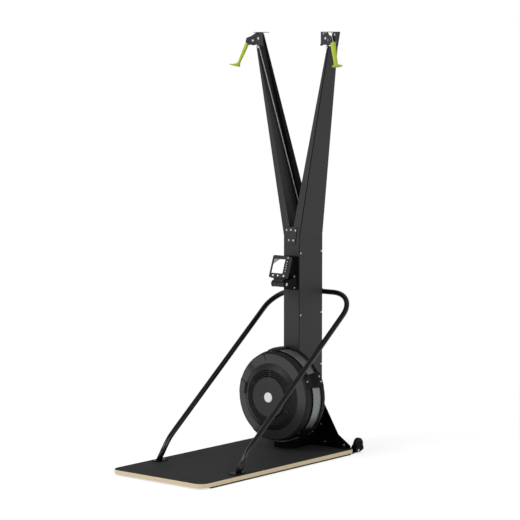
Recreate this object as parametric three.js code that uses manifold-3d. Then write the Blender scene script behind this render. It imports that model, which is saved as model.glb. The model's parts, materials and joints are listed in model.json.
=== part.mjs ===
// Ski trainer machine: an upright steel column on a plywood platform, two splayed arms with pulleys
// and pull handles, and an air-resistance fan low on the column's front face.
// Millimetres, +Z up. The user stands on the -Y side and faces +Y, towards the column.
// Inside this file Y = 0 is the column's front face. The last lines move the whole model along Y so
// that its origin lies on the floor, under the middle of its overall length.
import * as THREE from "three";
import { mergeVertices } from "three/addons/utils/BufferGeometryUtils.js";
import Module from "manifold-3d";

const wasm = await Module();
wasm.setup();

// Shared clearances and mesh settings
const seatGap = 0.3;
const runningGap = 0.6;
const cutOverrun = 5;
const weldDistance = 0.0005;
const fullTurn = Math.PI * 2;
const degree = Math.PI / 180;

// Platform
const platformWidth = 600;
const platformUserLength = 1039;
const platformRearLength = 139;
const platformCornerRadius = 50;
const boardThickness = 20.5;
const gripThickness = 1.5;
const gripInset = 1.5;
const runnerHeight = 8;
const runnerWidth = 36;
const runnerInset = 6;
const runnerUserInset = 75;
const runnerRearInset = 12;
const platformTop = runnerHeight + boardThickness + gripThickness + seatGap * 2;

// Column, a box section that stands upright
const columnWidth = 103;
const columnDepth = 192;
const sheetWall = 3;
const columnBreakHeight = 1118;
const basePlateThickness = 5;
const columnNotchRadius = 4;
const columnNotchHeights = [1035, 716, 445];

// Arms: channels that open towards each other and taper upwards
const armTopHeight = 2160;
const armOuterSlope = 0.1907;
const armInnerSlope = 0.2336;
const armTopDepth = 70;
const armTabOffset = 9;
const armTabWidth = 27;
const armTabNeck = 6;

// Junction cover on the front of the fork
const coverThickness = 4;
const coverTopRise = 52;
const coverBottomDrop = 36;
const coverTopHeight = columnBreakHeight + coverTopRise;
const coverBottomHeight = columnBreakHeight - coverBottomDrop;
const coverTopHalfWidth = 38;
const coverBottomHalfWidth = 26;

// Column foot: cheeks on both sides of the column, a toe under the fan and two rear wings
const cheekThickness = 4;
const toeLength = 71;
const toeHeight = 30;
const cheekHeight = 216;
const cheekRadius = 14;
const wingThickness = 5;
const wingTopWidth = 54;
const wingKneeWidth = 147;
const wingKneeHeight = 64;
const wingEndWidth = 226;
const wingEndHeight = 13;

// Rear beam and transport wheels
const beamHalfLength = 283;
const beamDepth = 34;
const beamHeight = 28;
const beamWall = 2.5;
const wheelRadius = 34;
const wheelWidth = 24;
const wheelAxleRadius = 5;
const wheelCentreBehindBoard = 73;
const wheelCentreHeight = 45;
const wheelOuterInset = 14;
const wheelCheekThickness = 3;
const wheelSideGap = 1;

// Support rail: one bent tube from foot to foot, round the back of the column
const railRadius = 13.5;
const railHalfSpan = 261;
const railBackGap = 10.5;
const railTopHeight = 821;
const railSlope = 0.79;
const railBendRadius = 155;
const railKneeHeight = 134;
const railFootSlope = 1.29;
const railFootBend = 60;
const railFootLength = 84;
const railFootWidth = 62;
const railFootThickness = 4;
const clampWidth = 70;
const clampHeight = 96;
const clampWall = 4;

// Pulley brackets on the arm tops. Their plates point outwards and forwards.
const bracketTurn = 57.4 * degree;
const bracketPlate = 3;
const bracketCheekGap = 19;
const bracketCheekLength = 56;
const bracketBottomDrop = 60;
const bracketTopRise = 6;
const bracketTipRadius = 7;
const bracketTipDrop = 8.5;
const bracketTipRise = 22;
const bracketTipLean = 5;
const bracketChamferStart = 37;
const bracketBrowReach = 26;
const bracketFlangeWidth = 42;
const bracketWindowWidth = 26;
const bracketWindowHeight = 9;
const bracketWindowDrop = 5;
const bracketBackDepth = 54;
const bracketBridgeDepth = 30;
const bracketFootDrop = 4;
const bracketFootWidth = 12;

// Pulleys and cords
const cordRadius = 2.75;
const cordLeaveAngle = 13 * degree;
const topPulleyDrop = 37.5;
const topPulleyReach = 17;
const topPulleyGroove = 21;
const topPulleyRim = 25;
const topPulleyWidth = 14;
const topAxleRadius = 4;
const guidePulleyGroove = 12;
const guidePulleyRim = 14.5;
const guidePulleyWidth = 10;
const guideAxleRadius = 4;
const guideDrop = 30;
const drumGroove = 20;
const drumRim = 27;
const drumWidth = 22;
const recoilRadius = 38;
const recoilWidth = 16;
const frontCordInset = 24;
const rearCordInset = 26;

// Handles
const handleTilt = 26 * degree;
const handleLength = 138;
const handleTopReach = 58;
const handleTopDrop = 18.5;
const gripTopRadius = 13;
const gripMiddleRadius = 12;
const gripNeckRadius = 10.5;
const flareHalfLength = 29;
const flareHalfWidth = 30;
const flareOffset = 12;
const flareLean = 14 * degree;
const flareThickness = 5;

// Fan and its cage. The fan's axis runs along Y.
const fanHeight = 307.5;
const axleRadius = 8.5;
const bearingRadius = 21;
const bearingWidth = 9;
const coverRadius = 229;
const coverWall = 3;
const coverRimWidth = 28;
const coverShoulderDepth = 14;
const fanTipGap = 12;
const fanBladeHeight = 118;
const fanFrontGap = 21;
const fanBackGap = 4;
const fanDisc = 2.5;
const fanBladeThickness = 2.2;
const fanBladeCount = 20;
const fanHubRadius = 30;
const fanBladeSweep = 14 * degree;
const damperRimWidth = 9;
const damperWidth = 47;
const damperRise = 9;
const damperThickness = 3;
const damperTabAngle = 170 * degree;
const damperTabHalfAngle = 9.5 * degree;
const damperTabHeight = 6;
const damperSlitAngle = 104 * degree;
const damperSlitWidth = 5;
const bevelWidth = 33;
const intakeWidth = 35;
const intakeRise = 23;
const centrePlateRise = 8;
const centrePlateThickness = 5;
const grilleRingPitch = 10;
const grilleRingWidth = 3;
const grilleSpokes = 6;
const grilleSpokeWidth = 6;
const hubCapRadius = 26;
const hubCapThickness = 4;
const screenStep = 6;
const screenThickness = 1.5;
const screenWidth = 60;
const screenEndGap = 2;
const screenFrontGap = 1;
const rearRimStep = 8.5;
const rearRimWidth = 20;
const rearRimSetback = 10;
const rearPlateStandoff = 20;
const rearPlateThickness = 4;
const rearBossRadius = 44;
const clipThickness = 4;
const clipFrontHalfWidth = 33;
const clipRearHalfWidth = 43;
const clipCorner = 8;
const clipFirstAngle = 96 * degree;
const clipCount = 5;

// Monitor. Its own frame has its origin on the tilt axis, z up the face and y through the case.
const monitorHeight = 884;
const monitorReach = 97;
const monitorTilt = 19.5 * degree;
const monitorWidth = 108;
const monitorCaseBottom = 24;
const monitorCaseTop = 142;
const monitorFace = -32.5;
const monitorFrontDepth = 12;
const monitorBackDepth = 16;
const monitorCorner = 8;
const monitorWall = 2.5;
const lensLeft = -43;
const lensRight = 37;
const lensBottom = 48;
const lensTop = 123;
const lensThickness = 2;
const barrelRadius = 15.5;
const barrelHalfLength = 38;
const neckHalfWidth = 30;
const lugThickness = 5;
const tiltBoltRadius = 4;
const tiltBoltHead = 8;
const tiltBoltHeadLength = 4;
const monitorPlateHalfWidth = 47;
const monitorPlateTopRise = 137;
const monitorPlateBottomDrop = 38;
const monitorPlateThickness = 5;
const buttonRadius = 4.5;
const buttonRise = 2;
const buttonHeight = 36;
const buttonPlaces = [-27, 4, 42];
const keyStripPlace = 46;
const keyStripWidth = 9;
const keyStripBottom = 58;
const keyStripTop = 122;
const keyStripRise = 1.2;

// Worked-out sizes of the fan and its cage, from the outside inwards and from the column forwards
const fanRadius = coverRadius - coverWall - fanTipGap;
const fanInnerRadius = fanRadius - fanBladeHeight;
const damperOuterRadius = coverRadius - damperRimWidth;
const damperInnerRadius = damperOuterRadius - damperWidth;
const intakeRadius = damperInnerRadius - bevelWidth;
const centrePlateRadius = intakeRadius - intakeWidth;
const screenRadius = coverRadius + screenStep;
const rearRimRadius = screenRadius + rearRimStep;
const rearPlateFront = -rearPlateStandoff;
const rearRimBack = rearPlateFront - rearRimSetback;
const rearRimFront = rearRimBack - rearRimWidth;
const screenBack = rearRimFront - screenEndGap;
const screenFront = screenBack - screenWidth;
const coverRimBack = screenFront - screenFrontGap;
const coverRimFront = coverRimBack - coverRimWidth;
const damperFace = coverRimFront - coverShoulderDepth;
const intakeFace = damperFace - intakeRise;
const centrePlateFace = intakeFace - centrePlateRise;
const fanBack = screenBack + fanBackGap;
const fanFront = coverRimBack - fanFrontGap;

// Worked-out places
const topPulleyHeight = armTopHeight - topPulleyDrop;
const bracketBottomHeight = armTopHeight - bracketBottomDrop;
const bracketTopHeight = armTopHeight + bracketTopRise;
const bracketTipHeight = topPulleyHeight - bracketTipDrop;
const handleTopHeight = topPulleyHeight - handleTopDrop;
const guideHeight = columnBreakHeight - guideDrop;
const rightCordDepth = sheetWall + frontCordInset;
const leftCordDepth = columnDepth - sheetWall - rearCordInset;
const monitorPlateTop = monitorHeight + monitorPlateTopRise;
const monitorPlateBottom = monitorHeight - monitorPlateBottomDrop;
const halfColumn = columnWidth / 2;
const armRise = armTopHeight - columnBreakHeight;
const armTopOuter = halfColumn + armOuterSlope * armRise;
const armTopInner = armInnerSlope * armRise;
const columnFootHeight = platformTop + basePlateThickness + seatGap * 2;
const railBackY = columnDepth + railBackGap + railRadius;
const wheelCentreY = platformRearLength + wheelCentreBehindBoard;
const rearExtreme = wheelCentreY + wheelRadius;

function outerAt(height) {
  return halfColumn + armOuterSlope * (height - columnBreakHeight);
}

// The pulley plane of the right bracket: a centre line from the arm's corner, out and forwards
const pointing = new THREE.Vector3(Math.sin(bracketTurn), -Math.cos(bracketTurn), 0);
const across = new THREE.Vector3(Math.cos(bracketTurn), Math.sin(bracketTurn), 0);
const bracketRoot = new THREE.Vector3(outerAt(topPulleyHeight) - sheetWall, bracketCheekGap / 3, 0);
const topPulleyCentre = bracketRoot.clone().addScaledVector(pointing, topPulleyReach).setZ(topPulleyHeight);

// Returns the mesh as a closed solid with its faces pointing out.
function toSolid(geometry) {
  const bare = geometry.clone();
  bare.deleteAttribute("normal");
  bare.deleteAttribute("uv");
  const merged = mergeVertices(bare, weldDistance);
  const place = merged.attributes.position;
  const corners = [];
  let volume = 0;
  const a = new THREE.Vector3();
  const b = new THREE.Vector3();
  const c = new THREE.Vector3();
  for (let i = 0; i < merged.index.count; i += 3) {
    const triple = [merged.index.getX(i), merged.index.getX(i + 1), merged.index.getX(i + 2)];
    if (new Set(triple).size < triple.length) {
      continue;
    }
    a.fromBufferAttribute(place, triple[0]);
    b.fromBufferAttribute(place, triple[1]);
    c.fromBufferAttribute(place, triple[2]);
    volume += a.dot(b.cross(c));
    corners.push(...triple);
  }
  if (volume < 0) {
    corners.reverse();
  }
  const vertProperties = new Float32Array(place.array);
  return new wasm.Manifold(new wasm.Mesh({ numProp: 3, vertProperties, triVerts: new Uint32Array(corners) }));
}

function toGeometry(solid) {
  const mesh = solid.getMesh();
  const geometry = new THREE.BufferGeometry();
  geometry.setAttribute("position", new THREE.BufferAttribute(new Float32Array(mesh.vertProperties), 3));
  geometry.setIndex(new THREE.BufferAttribute(new Uint32Array(mesh.triVerts), 1));
  geometry.computeVertexNormals();
  return geometry;
}

function join(...geometries) {
  return geometries.map(toSolid).reduce((sum, next) => sum.add(next));
}

function cut(solid, ...geometries) {
  return geometries.reduce((rest, tool) => rest.subtract(toSolid(tool)), solid);
}

function block(xLow, xHigh, yLow, yHigh, zLow, zHigh) {
  const shape = new THREE.BoxGeometry(xHigh - xLow, yHigh - yLow, zHigh - zLow);
  return shape.translate((xLow + xHigh) / 2, (yLow + yHigh) / 2, (zLow + zHigh) / 2);
}

function outline(points) {
  return new THREE.Shape(points.map(([first, second]) => new THREE.Vector2(first, second)));
}

// Rounded outline through corners given as [first, second, radius].
function roundedOutline(corners, steps = 5) {
  const points = [];
  corners.forEach(([x, y, radius], i) => {
    const corner = new THREE.Vector2(x, y);
    if (!radius) {
      points.push([x, y]);
      return;
    }
    const before = corners[(i + corners.length - 1) % corners.length];
    const after = corners[(i + 1) % corners.length];
    const toBefore = new THREE.Vector2(before[0], before[1]).sub(corner).normalize();
    const toAfter = new THREE.Vector2(after[0], after[1]).sub(corner).normalize();
    const half = Math.acos(THREE.MathUtils.clamp(toBefore.dot(toAfter), -1, 1)) / 2;
    const middle = toBefore.clone().add(toAfter).normalize();
    const centre = corner.clone().addScaledVector(middle, radius / Math.sin(half));
    const start = corner.clone().addScaledVector(toBefore, radius / Math.tan(half)).sub(centre);
    const end = corner.clone().addScaledVector(toAfter, radius / Math.tan(half)).sub(centre);
    let sweep = end.angle() - start.angle();
    sweep -= Math.round(sweep / fullTurn) * fullTurn;
    for (let k = 0; k <= steps; k += 1) {
      const point = start.clone().rotateAround(new THREE.Vector2(), (sweep * k) / steps).add(centre);
      points.push([point.x, point.y]);
    }
  });
  return points;
}

// Plates: an outline with depth, lying in the XZ, YZ or XY plane.
function plateXZ(points, yLow, yHigh) {
  const plate = new THREE.ExtrudeGeometry(outline(points), { depth: yHigh - yLow, bevelEnabled: false });
  return plate.rotateX(Math.PI / 2).translate(0, yHigh, 0);
}

function plateYZ(points, xLow, xHigh) {
  const plate = new THREE.ExtrudeGeometry(outline(points), { depth: xHigh - xLow, bevelEnabled: false });
  const xAxis = new THREE.Vector3(1, 0, 0);
  const yAxis = new THREE.Vector3(0, 1, 0);
  const zAxis = new THREE.Vector3(0, 0, 1);
  return plate.applyMatrix4(new THREE.Matrix4().makeBasis(yAxis, zAxis, xAxis)).translate(xLow, 0, 0);
}

function plateXY(points, zLow, zHigh) {
  const plate = new THREE.ExtrudeGeometry(outline(points), { depth: zHigh - zLow, bevelEnabled: false });
  return plate.translate(0, 0, zLow);
}

// A closed profile of [radius, y] points turned about the Y axis, at a height.
function turned(profile, height, segments) {
  const points = profile.map(([radius, y]) => new THREE.Vector2(radius, y));
  points.push(points[0].clone());
  return new THREE.LatheGeometry(points, segments).translate(0, 0, height);
}

// Round rods along the axes
function rodY(radius, yLow, yHigh, x, z, segments = 20) {
  const rod = new THREE.CylinderGeometry(radius, radius, yHigh - yLow, segments);
  return rod.translate(x, (yLow + yHigh) / 2, z);
}

function rodX(radius, xLow, xHigh, y, z, segments = 20) {
  const rod = new THREE.CylinderGeometry(radius, radius, xHigh - xLow, segments).rotateZ(Math.PI / 2);
  return rod.translate((xLow + xHigh) / 2, y, z);
}

// A skin over rings that have equal numbers of points, closed at both ends.
function skin(rings) {
  const count = rings[0].length;
  const places = rings.flat().flatMap((point) => [point.x, point.y, point.z]);
  const faces = [];
  for (let ring = 0; ring + 1 < rings.length; ring += 1) {
    for (let i = 0; i < count; i += 1) {
      const here = ring * count + i;
      const beside = ring * count + ((i + 1) % count);
      faces.push(here, beside, here + count, beside, beside + count, here + count);
    }
  }
  const last = (rings.length - 1) * count;
  for (let i = 1; i + 1 < count; i += 1) {
    faces.push(0, i + 1, i, last, last + i, last + i + 1);
  }
  const geometry = new THREE.BufferGeometry();
  geometry.setAttribute("position", new THREE.Float32BufferAttribute(places, 3));
  geometry.setIndex(faces);
  return geometry;
}

function ovalRing(centreX, z, radiusX, radiusY, count) {
  return Array.from({ length: count }, (_, i) => {
    const angle = (fullTurn * i) / count;
    return new THREE.Vector3(centreX + radiusX * Math.cos(angle), radiusY * Math.sin(angle), z);
  });
}

// A route through knots, swept so that each knot gets one ring of the tube.
class Route extends THREE.Curve {
  constructor(knots) {
    super();
    this.knots = knots;
    this.steps = knots.length - 1;
  }

  getPoint(t, target = new THREE.Vector3()) {
    const along = THREE.MathUtils.clamp(t, 0, 1) * this.steps;
    const index = Math.min(Math.floor(along), this.steps - 1);
    return target.lerpVectors(this.knots[index], this.knots[index + 1], along - index);
  }

  getPointAt(u, target) {
    return this.getPoint(u, target);
  }

  getTangentAt(u, target = new THREE.Vector3()) {
    const index = Math.round(u * this.steps);
    const before = this.knots[Math.max(index - 1, 0)];
    const here = this.knots[index];
    const after = this.knots[Math.min(index + 1, this.steps)];
    const incoming = here.clone().sub(before).normalize();
    const outgoing = after.clone().sub(here).normalize();
    return target.copy(incoming.add(outgoing).normalize());
  }
}

// Knots of a route that turns at each corner on a round bend of the given radius.
function bentRoute(corners, radii, bendSteps) {
  const knots = [corners[0].clone()];
  for (let i = 1; i + 1 < corners.length; i += 1) {
    const corner = corners[i];
    const toBefore = corners[i - 1].clone().sub(corner).normalize();
    const toAfter = corners[i + 1].clone().sub(corner).normalize();
    const half = toBefore.angleTo(toAfter) / 2;
    const radius = radii[i - 1];
    const centre = corner.clone().addScaledVector(toBefore.clone().add(toAfter).normalize(), radius / Math.sin(half));
    const start = corner.clone().addScaledVector(toBefore, radius / Math.tan(half)).sub(centre);
    const end = corner.clone().addScaledVector(toAfter, radius / Math.tan(half)).sub(centre);
    const axis = start.clone().cross(end).normalize();
    const sweep = start.angleTo(end);
    const steps = bendSteps[i - 1];
    for (let k = 0; k <= steps; k += 1) {
      knots.push(start.clone().applyAxisAngle(axis, (sweep * k) / steps).add(centre));
    }
  }
  knots.push(corners[corners.length - 1].clone());
  return knots;
}

function tube(knots, radius, sides) {
  const section = outline(Array.from({ length: sides }, (_, i) => {
    const angle = (fullTurn * i) / sides;
    return [radius * Math.cos(angle), radius * Math.sin(angle)];
  }));
  const path = new Route(knots);
  return new THREE.ExtrudeGeometry(section, { steps: path.steps, extrudePath: path, bevelEnabled: false });
}

// Materials
function paint(color, roughness, metalness) {
  return () => new THREE.MeshStandardMaterial({ color, roughness, metalness });
}

const blackPaint = paint(0x35363a, 0.55, 0.3);
const deepBlackPaint = paint(0x141416, 0.6, 0.2);
const plywood = paint(0xcdb892, 0.7, 0);
const gripSurface = paint(0x2b2c2f, 0.9, 0);
const blackPlastic = paint(0x222326, 0.35, 0);
const satinPlastic = paint(0x303134, 0.5, 0);
const greenPlastic = paint(0xa9c23c, 0.45, 0);
const blackRubber = paint(0x1b1b1c, 0.85, 0);
const steel = paint(0xb8babd, 0.3, 1);
const screenSteel = paint(0x8c8f92, 0.45, 0.8);
const cordCover = paint(0xb9babc, 0.8, 0);
const whitePlastic = paint(0xe6e7e8, 0.4, 0);
const lensPlastic = paint(0xd5dad6, 0.15, 0);

const model = new THREE.Group();

function addMesh(name, shape, material, parent = model) {
  const geometry = shape.isBufferGeometry ? toGeometry(toSolid(shape)) : toGeometry(shape);
  const mesh = new THREE.Mesh(geometry, material());
  mesh.name = name;
  parent.add(mesh);
  return mesh;
}

// Left and right copies of a piece made for the right side. The left one is mirrored.
function addPair(name, shape, material) {
  const right = shape.isBufferGeometry ? toGeometry(toSolid(shape)) : toGeometry(shape);
  const left = right.clone().scale(-1, 1, 1);
  addMesh(`left_${name}`, left, material);
  addMesh(`right_${name}`, right, material);
}

function mirrored(geometry) {
  return geometry.clone().scale(-1, 1, 1);
}

function platformOutline(inset) {
  const side = platformWidth / 2 - inset;
  const radius = platformCornerRadius - inset;
  const user = -platformUserLength + inset;
  const rear = platformRearLength - inset;
  const rearRadius = radius / 4;
  return roundedOutline([
    [-side, user, radius],
    [side, user, radius],
    [side, rear, rearRadius],
    [-side, rear, rearRadius],
  ], 8);
}

function addPlatform() {
  const boardBottom = runnerHeight + seatGap;
  const boardTop = boardBottom + boardThickness;
  addMesh("platform_board", plateXY(platformOutline(0), boardBottom, boardTop), plywood);
  addMesh("grip_sheet", plateXY(platformOutline(gripInset), boardTop + seatGap, platformTop), gripSurface);
  const outerSide = platformWidth / 2 - runnerInset;
  const runner = block(
    outerSide - runnerWidth,
    outerSide,
    -platformUserLength + runnerUserInset,
    platformRearLength - runnerRearInset,
    0,
    runnerHeight,
  );
  addPair("runner", runner, blackRubber);
}

function addColumn() {
  const outer = block(-halfColumn, halfColumn, 0, columnDepth, columnFootHeight, columnBreakHeight);
  const inner = block(
    -halfColumn + sheetWall,
    halfColumn - sheetWall,
    sheetWall,
    columnDepth - sheetWall,
    columnFootHeight - cutOverrun,
    columnBreakHeight + cutOverrun,
  );
  const holes = [
    rodY(axleRadius + runningGap, -cutOverrun, columnDepth + cutOverrun, 0, fanHeight),
    ...columnNotchHeights.flatMap((height) => [-1, 1].map((side) => (
      rodY(columnNotchRadius, columnDepth - sheetWall * 2, columnDepth + cutOverrun, side * halfColumn, height, 12)
    ))),
  ];
  addMesh("column", cut(join(outer), inner, ...holes), blackPaint);
}

// A prism from the fork up to the arm's top, between four corner lines.
function armPrism(bottom, top, low, high) {
  const ring = (corners, height) => corners.map(([x, y]) => new THREE.Vector3(x, y, height));
  return skin([ring(bottom, low), ring(top, high)]);
}

function addArms() {
  const low = columnBreakHeight + seatGap;
  const wallBottom = halfColumn - sheetWall;
  const wallTop = armTopOuter - sheetWall;
  const shell = armPrism(
    [[seatGap, 0], [halfColumn, 0], [halfColumn, columnDepth], [seatGap, columnDepth]],
    [[armTopInner, 0], [armTopOuter, 0], [armTopOuter, armTopDepth], [armTopInner, armTopDepth]],
    low,
    armTopHeight,
  );
  const hollow = armPrism(
    [
      [-columnWidth, sheetWall],
      [wallBottom, sheetWall],
      [wallBottom, columnDepth - sheetWall],
      [-columnWidth, columnDepth - sheetWall],
    ],
    [
      [-columnWidth, sheetWall],
      [wallTop, sheetWall],
      [wallTop, armTopDepth - sheetWall],
      [-columnWidth, armTopDepth - sheetWall],
    ],
    low,
    armTopHeight,
  );
  // The pulley reaches in through a notch in the arm's front corner. A tab beside the notch carries
  // the pulley bracket's front flange.
  const notchBottom = topPulleyHeight - topPulleyRim - runningGap * 6;
  const tabOuter = bracketRoot.x - armTabOffset;
  const cornerNotch = block(
    tabOuter,
    armTopOuter + cutOverrun,
    -cutOverrun,
    bracketCheekGap,
    notchBottom,
    armTopHeight + cutOverrun,
  );
  const tabPoints = [
    [tabOuter - armTabNeck, notchBottom - armTabNeck],
    [tabOuter, notchBottom - armTabNeck],
    [tabOuter, armTopHeight],
    [tabOuter - armTabWidth, armTopHeight],
    [tabOuter - armTabWidth, bracketBottomHeight + bracketFootDrop],
    [tabOuter - armTabNeck, bracketBottomHeight + bracketFootDrop],
  ];
  const tab = plateXZ(tabPoints, 0, sheetWall);
  addPair("arm", cut(toSolid(shell), hollow).add(toSolid(tab)).subtract(toSolid(cornerNotch)), blackPaint);
}

function addJunctionCover() {
  const points = [
    [-coverBottomHalfWidth, coverBottomHeight],
    [coverBottomHalfWidth, coverBottomHeight],
    [coverTopHalfWidth, coverTopHeight],
    [-coverTopHalfWidth, coverTopHeight],
  ];
  addMesh("junction_cover", plateXZ(points, -coverThickness - seatGap, -seatGap), blackPaint);
}

function addColumnFoot() {
  const bottom = platformTop + seatGap;
  const inside = halfColumn + seatGap;
  const outside = inside + cheekThickness;
  const rear = platformRearLength;
  const basePlate = block(-outside, outside, -toeLength, columnDepth, bottom, bottom + basePlateThickness);
  const cheekOutline = roundedOutline([
    [-toeLength, bottom, 0],
    [rear, bottom, 0],
    [rear, bottom + cheekHeight, 0],
    [0, bottom + cheekHeight, cheekRadius],
    [0, bottom + toeHeight, 0],
    [-toeLength, bottom + toeHeight, cheekRadius],
  ], 4);
  const cheek = plateYZ(cheekOutline, inside, outside);
  const wingOutline = roundedOutline([
    [inside, bottom, 0],
    [outside + wingEndWidth, bottom, 0],
    [outside + wingEndWidth, bottom + wingEndHeight, 0],
    [outside + wingKneeWidth, bottom + wingKneeHeight, 0],
    [outside + wingTopWidth, bottom + cheekHeight, cheekRadius],
    [inside, bottom + cheekHeight, 0],
  ], 4);
  const wing = plateXZ(wingOutline, rear - wingThickness, rear);
  const flangeDepth = wingThickness * 8;
  const flangeBar = block(
    -outside - wingEndWidth,
    outside + wingEndWidth,
    rear - flangeDepth,
    rear,
    bottom,
    bottom + basePlateThickness,
  );
  const toe = block(-inside, inside, -toeLength, -toeLength + cheekThickness, bottom, bottom + toeHeight);
  addMesh("column_foot", join(basePlate, cheek, mirrored(cheek), wing, mirrored(wing), flangeBar, toe), deepBlackPaint);
}

function addRearBeam() {
  const front = platformRearLength + seatGap;
  const outer = block(-beamHalfLength, beamHalfLength, front, front + beamDepth, 0, beamHeight);
  const inner = block(
    -beamHalfLength - cutOverrun,
    beamHalfLength + cutOverrun,
    front + beamWall,
    front + beamDepth - beamWall,
    beamWall,
    beamHeight - beamWall,
  );
  addMesh("rear_beam", cut(join(outer), inner), deepBlackPaint);
}

function addTransportWheels() {
  const outerFace = platformWidth / 2 - wheelOuterInset;
  const innerFace = outerFace - wheelWidth;
  const chamfer = wheelWidth / 6;
  const half = wheelWidth / 2;
  const bore = wheelAxleRadius + runningGap / 2;
  const profile = [
    [bore, -half],
    [wheelRadius - chamfer, -half],
    [wheelRadius, -half + chamfer],
    [wheelRadius, half - chamfer],
    [wheelRadius - chamfer, half],
    [bore, half],
  ];
  const wheel = turned(profile, 0, 24).rotateZ(Math.PI / 2);
  wheel.translate((innerFace + outerFace) / 2, wheelCentreY, wheelCentreHeight);
  addPair("transport_wheel", wheel, blackRubber);

  // Bracket: two cheeks beside the wheel and a web against the beam's rear face
  const beamRear = platformRearLength + beamDepth + seatGap * 2;
  const lug = wheelAxleRadius * 2.6;
  const cheekPoints = roundedOutline([
    [beamRear, bracketFootDrop, 0],
    [wheelCentreY - lug / 2, bracketFootDrop, lug / 2],
    [wheelCentreY + lug * 2, wheelCentreHeight / 3, lug / 3],
    [wheelCentreY + lug * 2, wheelCentreHeight * 0.6, lug / 3],
    [wheelCentreY + lug, wheelCentreHeight + lug, lug],
    [wheelCentreY - lug, wheelCentreHeight + lug, lug],
    [beamRear, beamHeight, 0],
  ], 5);
  const outerCheek = plateYZ(cheekPoints, outerFace + wheelSideGap, outerFace + wheelSideGap + wheelCheekThickness);
  const innerCheek = plateYZ(cheekPoints, innerFace - wheelSideGap - wheelCheekThickness, innerFace - wheelSideGap);
  const web = block(
    innerFace - wheelSideGap - wheelCheekThickness,
    outerFace + wheelSideGap + wheelCheekThickness,
    beamRear,
    beamRear + wheelCheekThickness,
    bracketFootDrop,
    beamHeight,
  );
  const axle = rodX(
    wheelAxleRadius,
    innerFace - wheelSideGap * 2 - wheelCheekThickness,
    outerFace + wheelSideGap * 2 + wheelCheekThickness,
    wheelCentreY,
    wheelCentreHeight,
    16,
  );
  addPair("wheel_bracket", join(outerCheek, innerCheek, web, axle), deepBlackPaint);
}

function addSupportRail() {
  const footZ = platformTop + seatGap + railFootThickness;
  const kneeY = railBackY - (railTopHeight - railKneeHeight) / railSlope;
  const footY = kneeY - (railKneeHeight - footZ) / railFootSlope;
  const half = [
    new THREE.Vector3(railHalfSpan, railBackY, railTopHeight),
    new THREE.Vector3(railHalfSpan, kneeY, railKneeHeight),
    new THREE.Vector3(railHalfSpan, footY, footZ - railFootThickness / 2),
  ];
  const left = half.map((point) => new THREE.Vector3(-point.x, point.y, point.z)).reverse();
  const corners = [...left, ...half];
  const radii = [railFootBend, railBendRadius, railBendRadius, railFootBend];
  const pipe = tube(bentRoute(corners, radii, [3, 9, 9, 3]), railRadius, 12);
  const side = railFootWidth / 2;
  const corner = side / 3;
  const footOutline = roundedOutline([
    [railHalfSpan - side, footY - railFootLength / 2, corner],
    [railHalfSpan + side / 2, footY - railFootLength / 2, corner],
    [railHalfSpan + side / 2, footY + railFootLength / 2, corner],
    [railHalfSpan - side, footY + railFootLength / 2, corner],
  ], 3);
  const foot = plateXY(footOutline, platformTop + seatGap, footZ);
  const underFeet = block(
    -platformWidth,
    platformWidth,
    -platformUserLength,
    0,
    0,
    platformTop + seatGap,
  );
  addMesh("support_rail", cut(join(pipe, foot, mirrored(foot)), underFeet), deepBlackPaint);

  // Clamp: a saddle between the column's rear face and the tube, with its cap behind
  const front = columnDepth + seatGap;
  const back = railBackY + railRadius + clampWall;
  const body = block(
    -clampWidth / 2,
    clampWidth / 2,
    front,
    back,
    railTopHeight - railRadius - clampWall * 2,
    railTopHeight + railRadius + clampWall * 2,
  );
  const plate = block(
    -clampWidth / 2,
    clampWidth / 2,
    front,
    front + clampWall,
    railTopHeight - clampHeight / 2,
    railTopHeight + clampHeight / 2,
  );
  const bore = rodX(railRadius + seatGap, -clampWidth, clampWidth, railBackY, railTopHeight, 24);
  addMesh("rail_clamp", cut(join(body, plate), bore), deepBlackPaint);
}

// Turns a solid made along +X, with its thickness along Y, into the bracket's pulley plane.
function intoBracketPlane(geometry) {
  const basis = new THREE.Matrix4().makeBasis(pointing, across, new THREE.Vector3(0, 0, 1));
  return geometry.applyMatrix4(basis.setPosition(bracketRoot.x, bracketRoot.y, 0));
}

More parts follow.
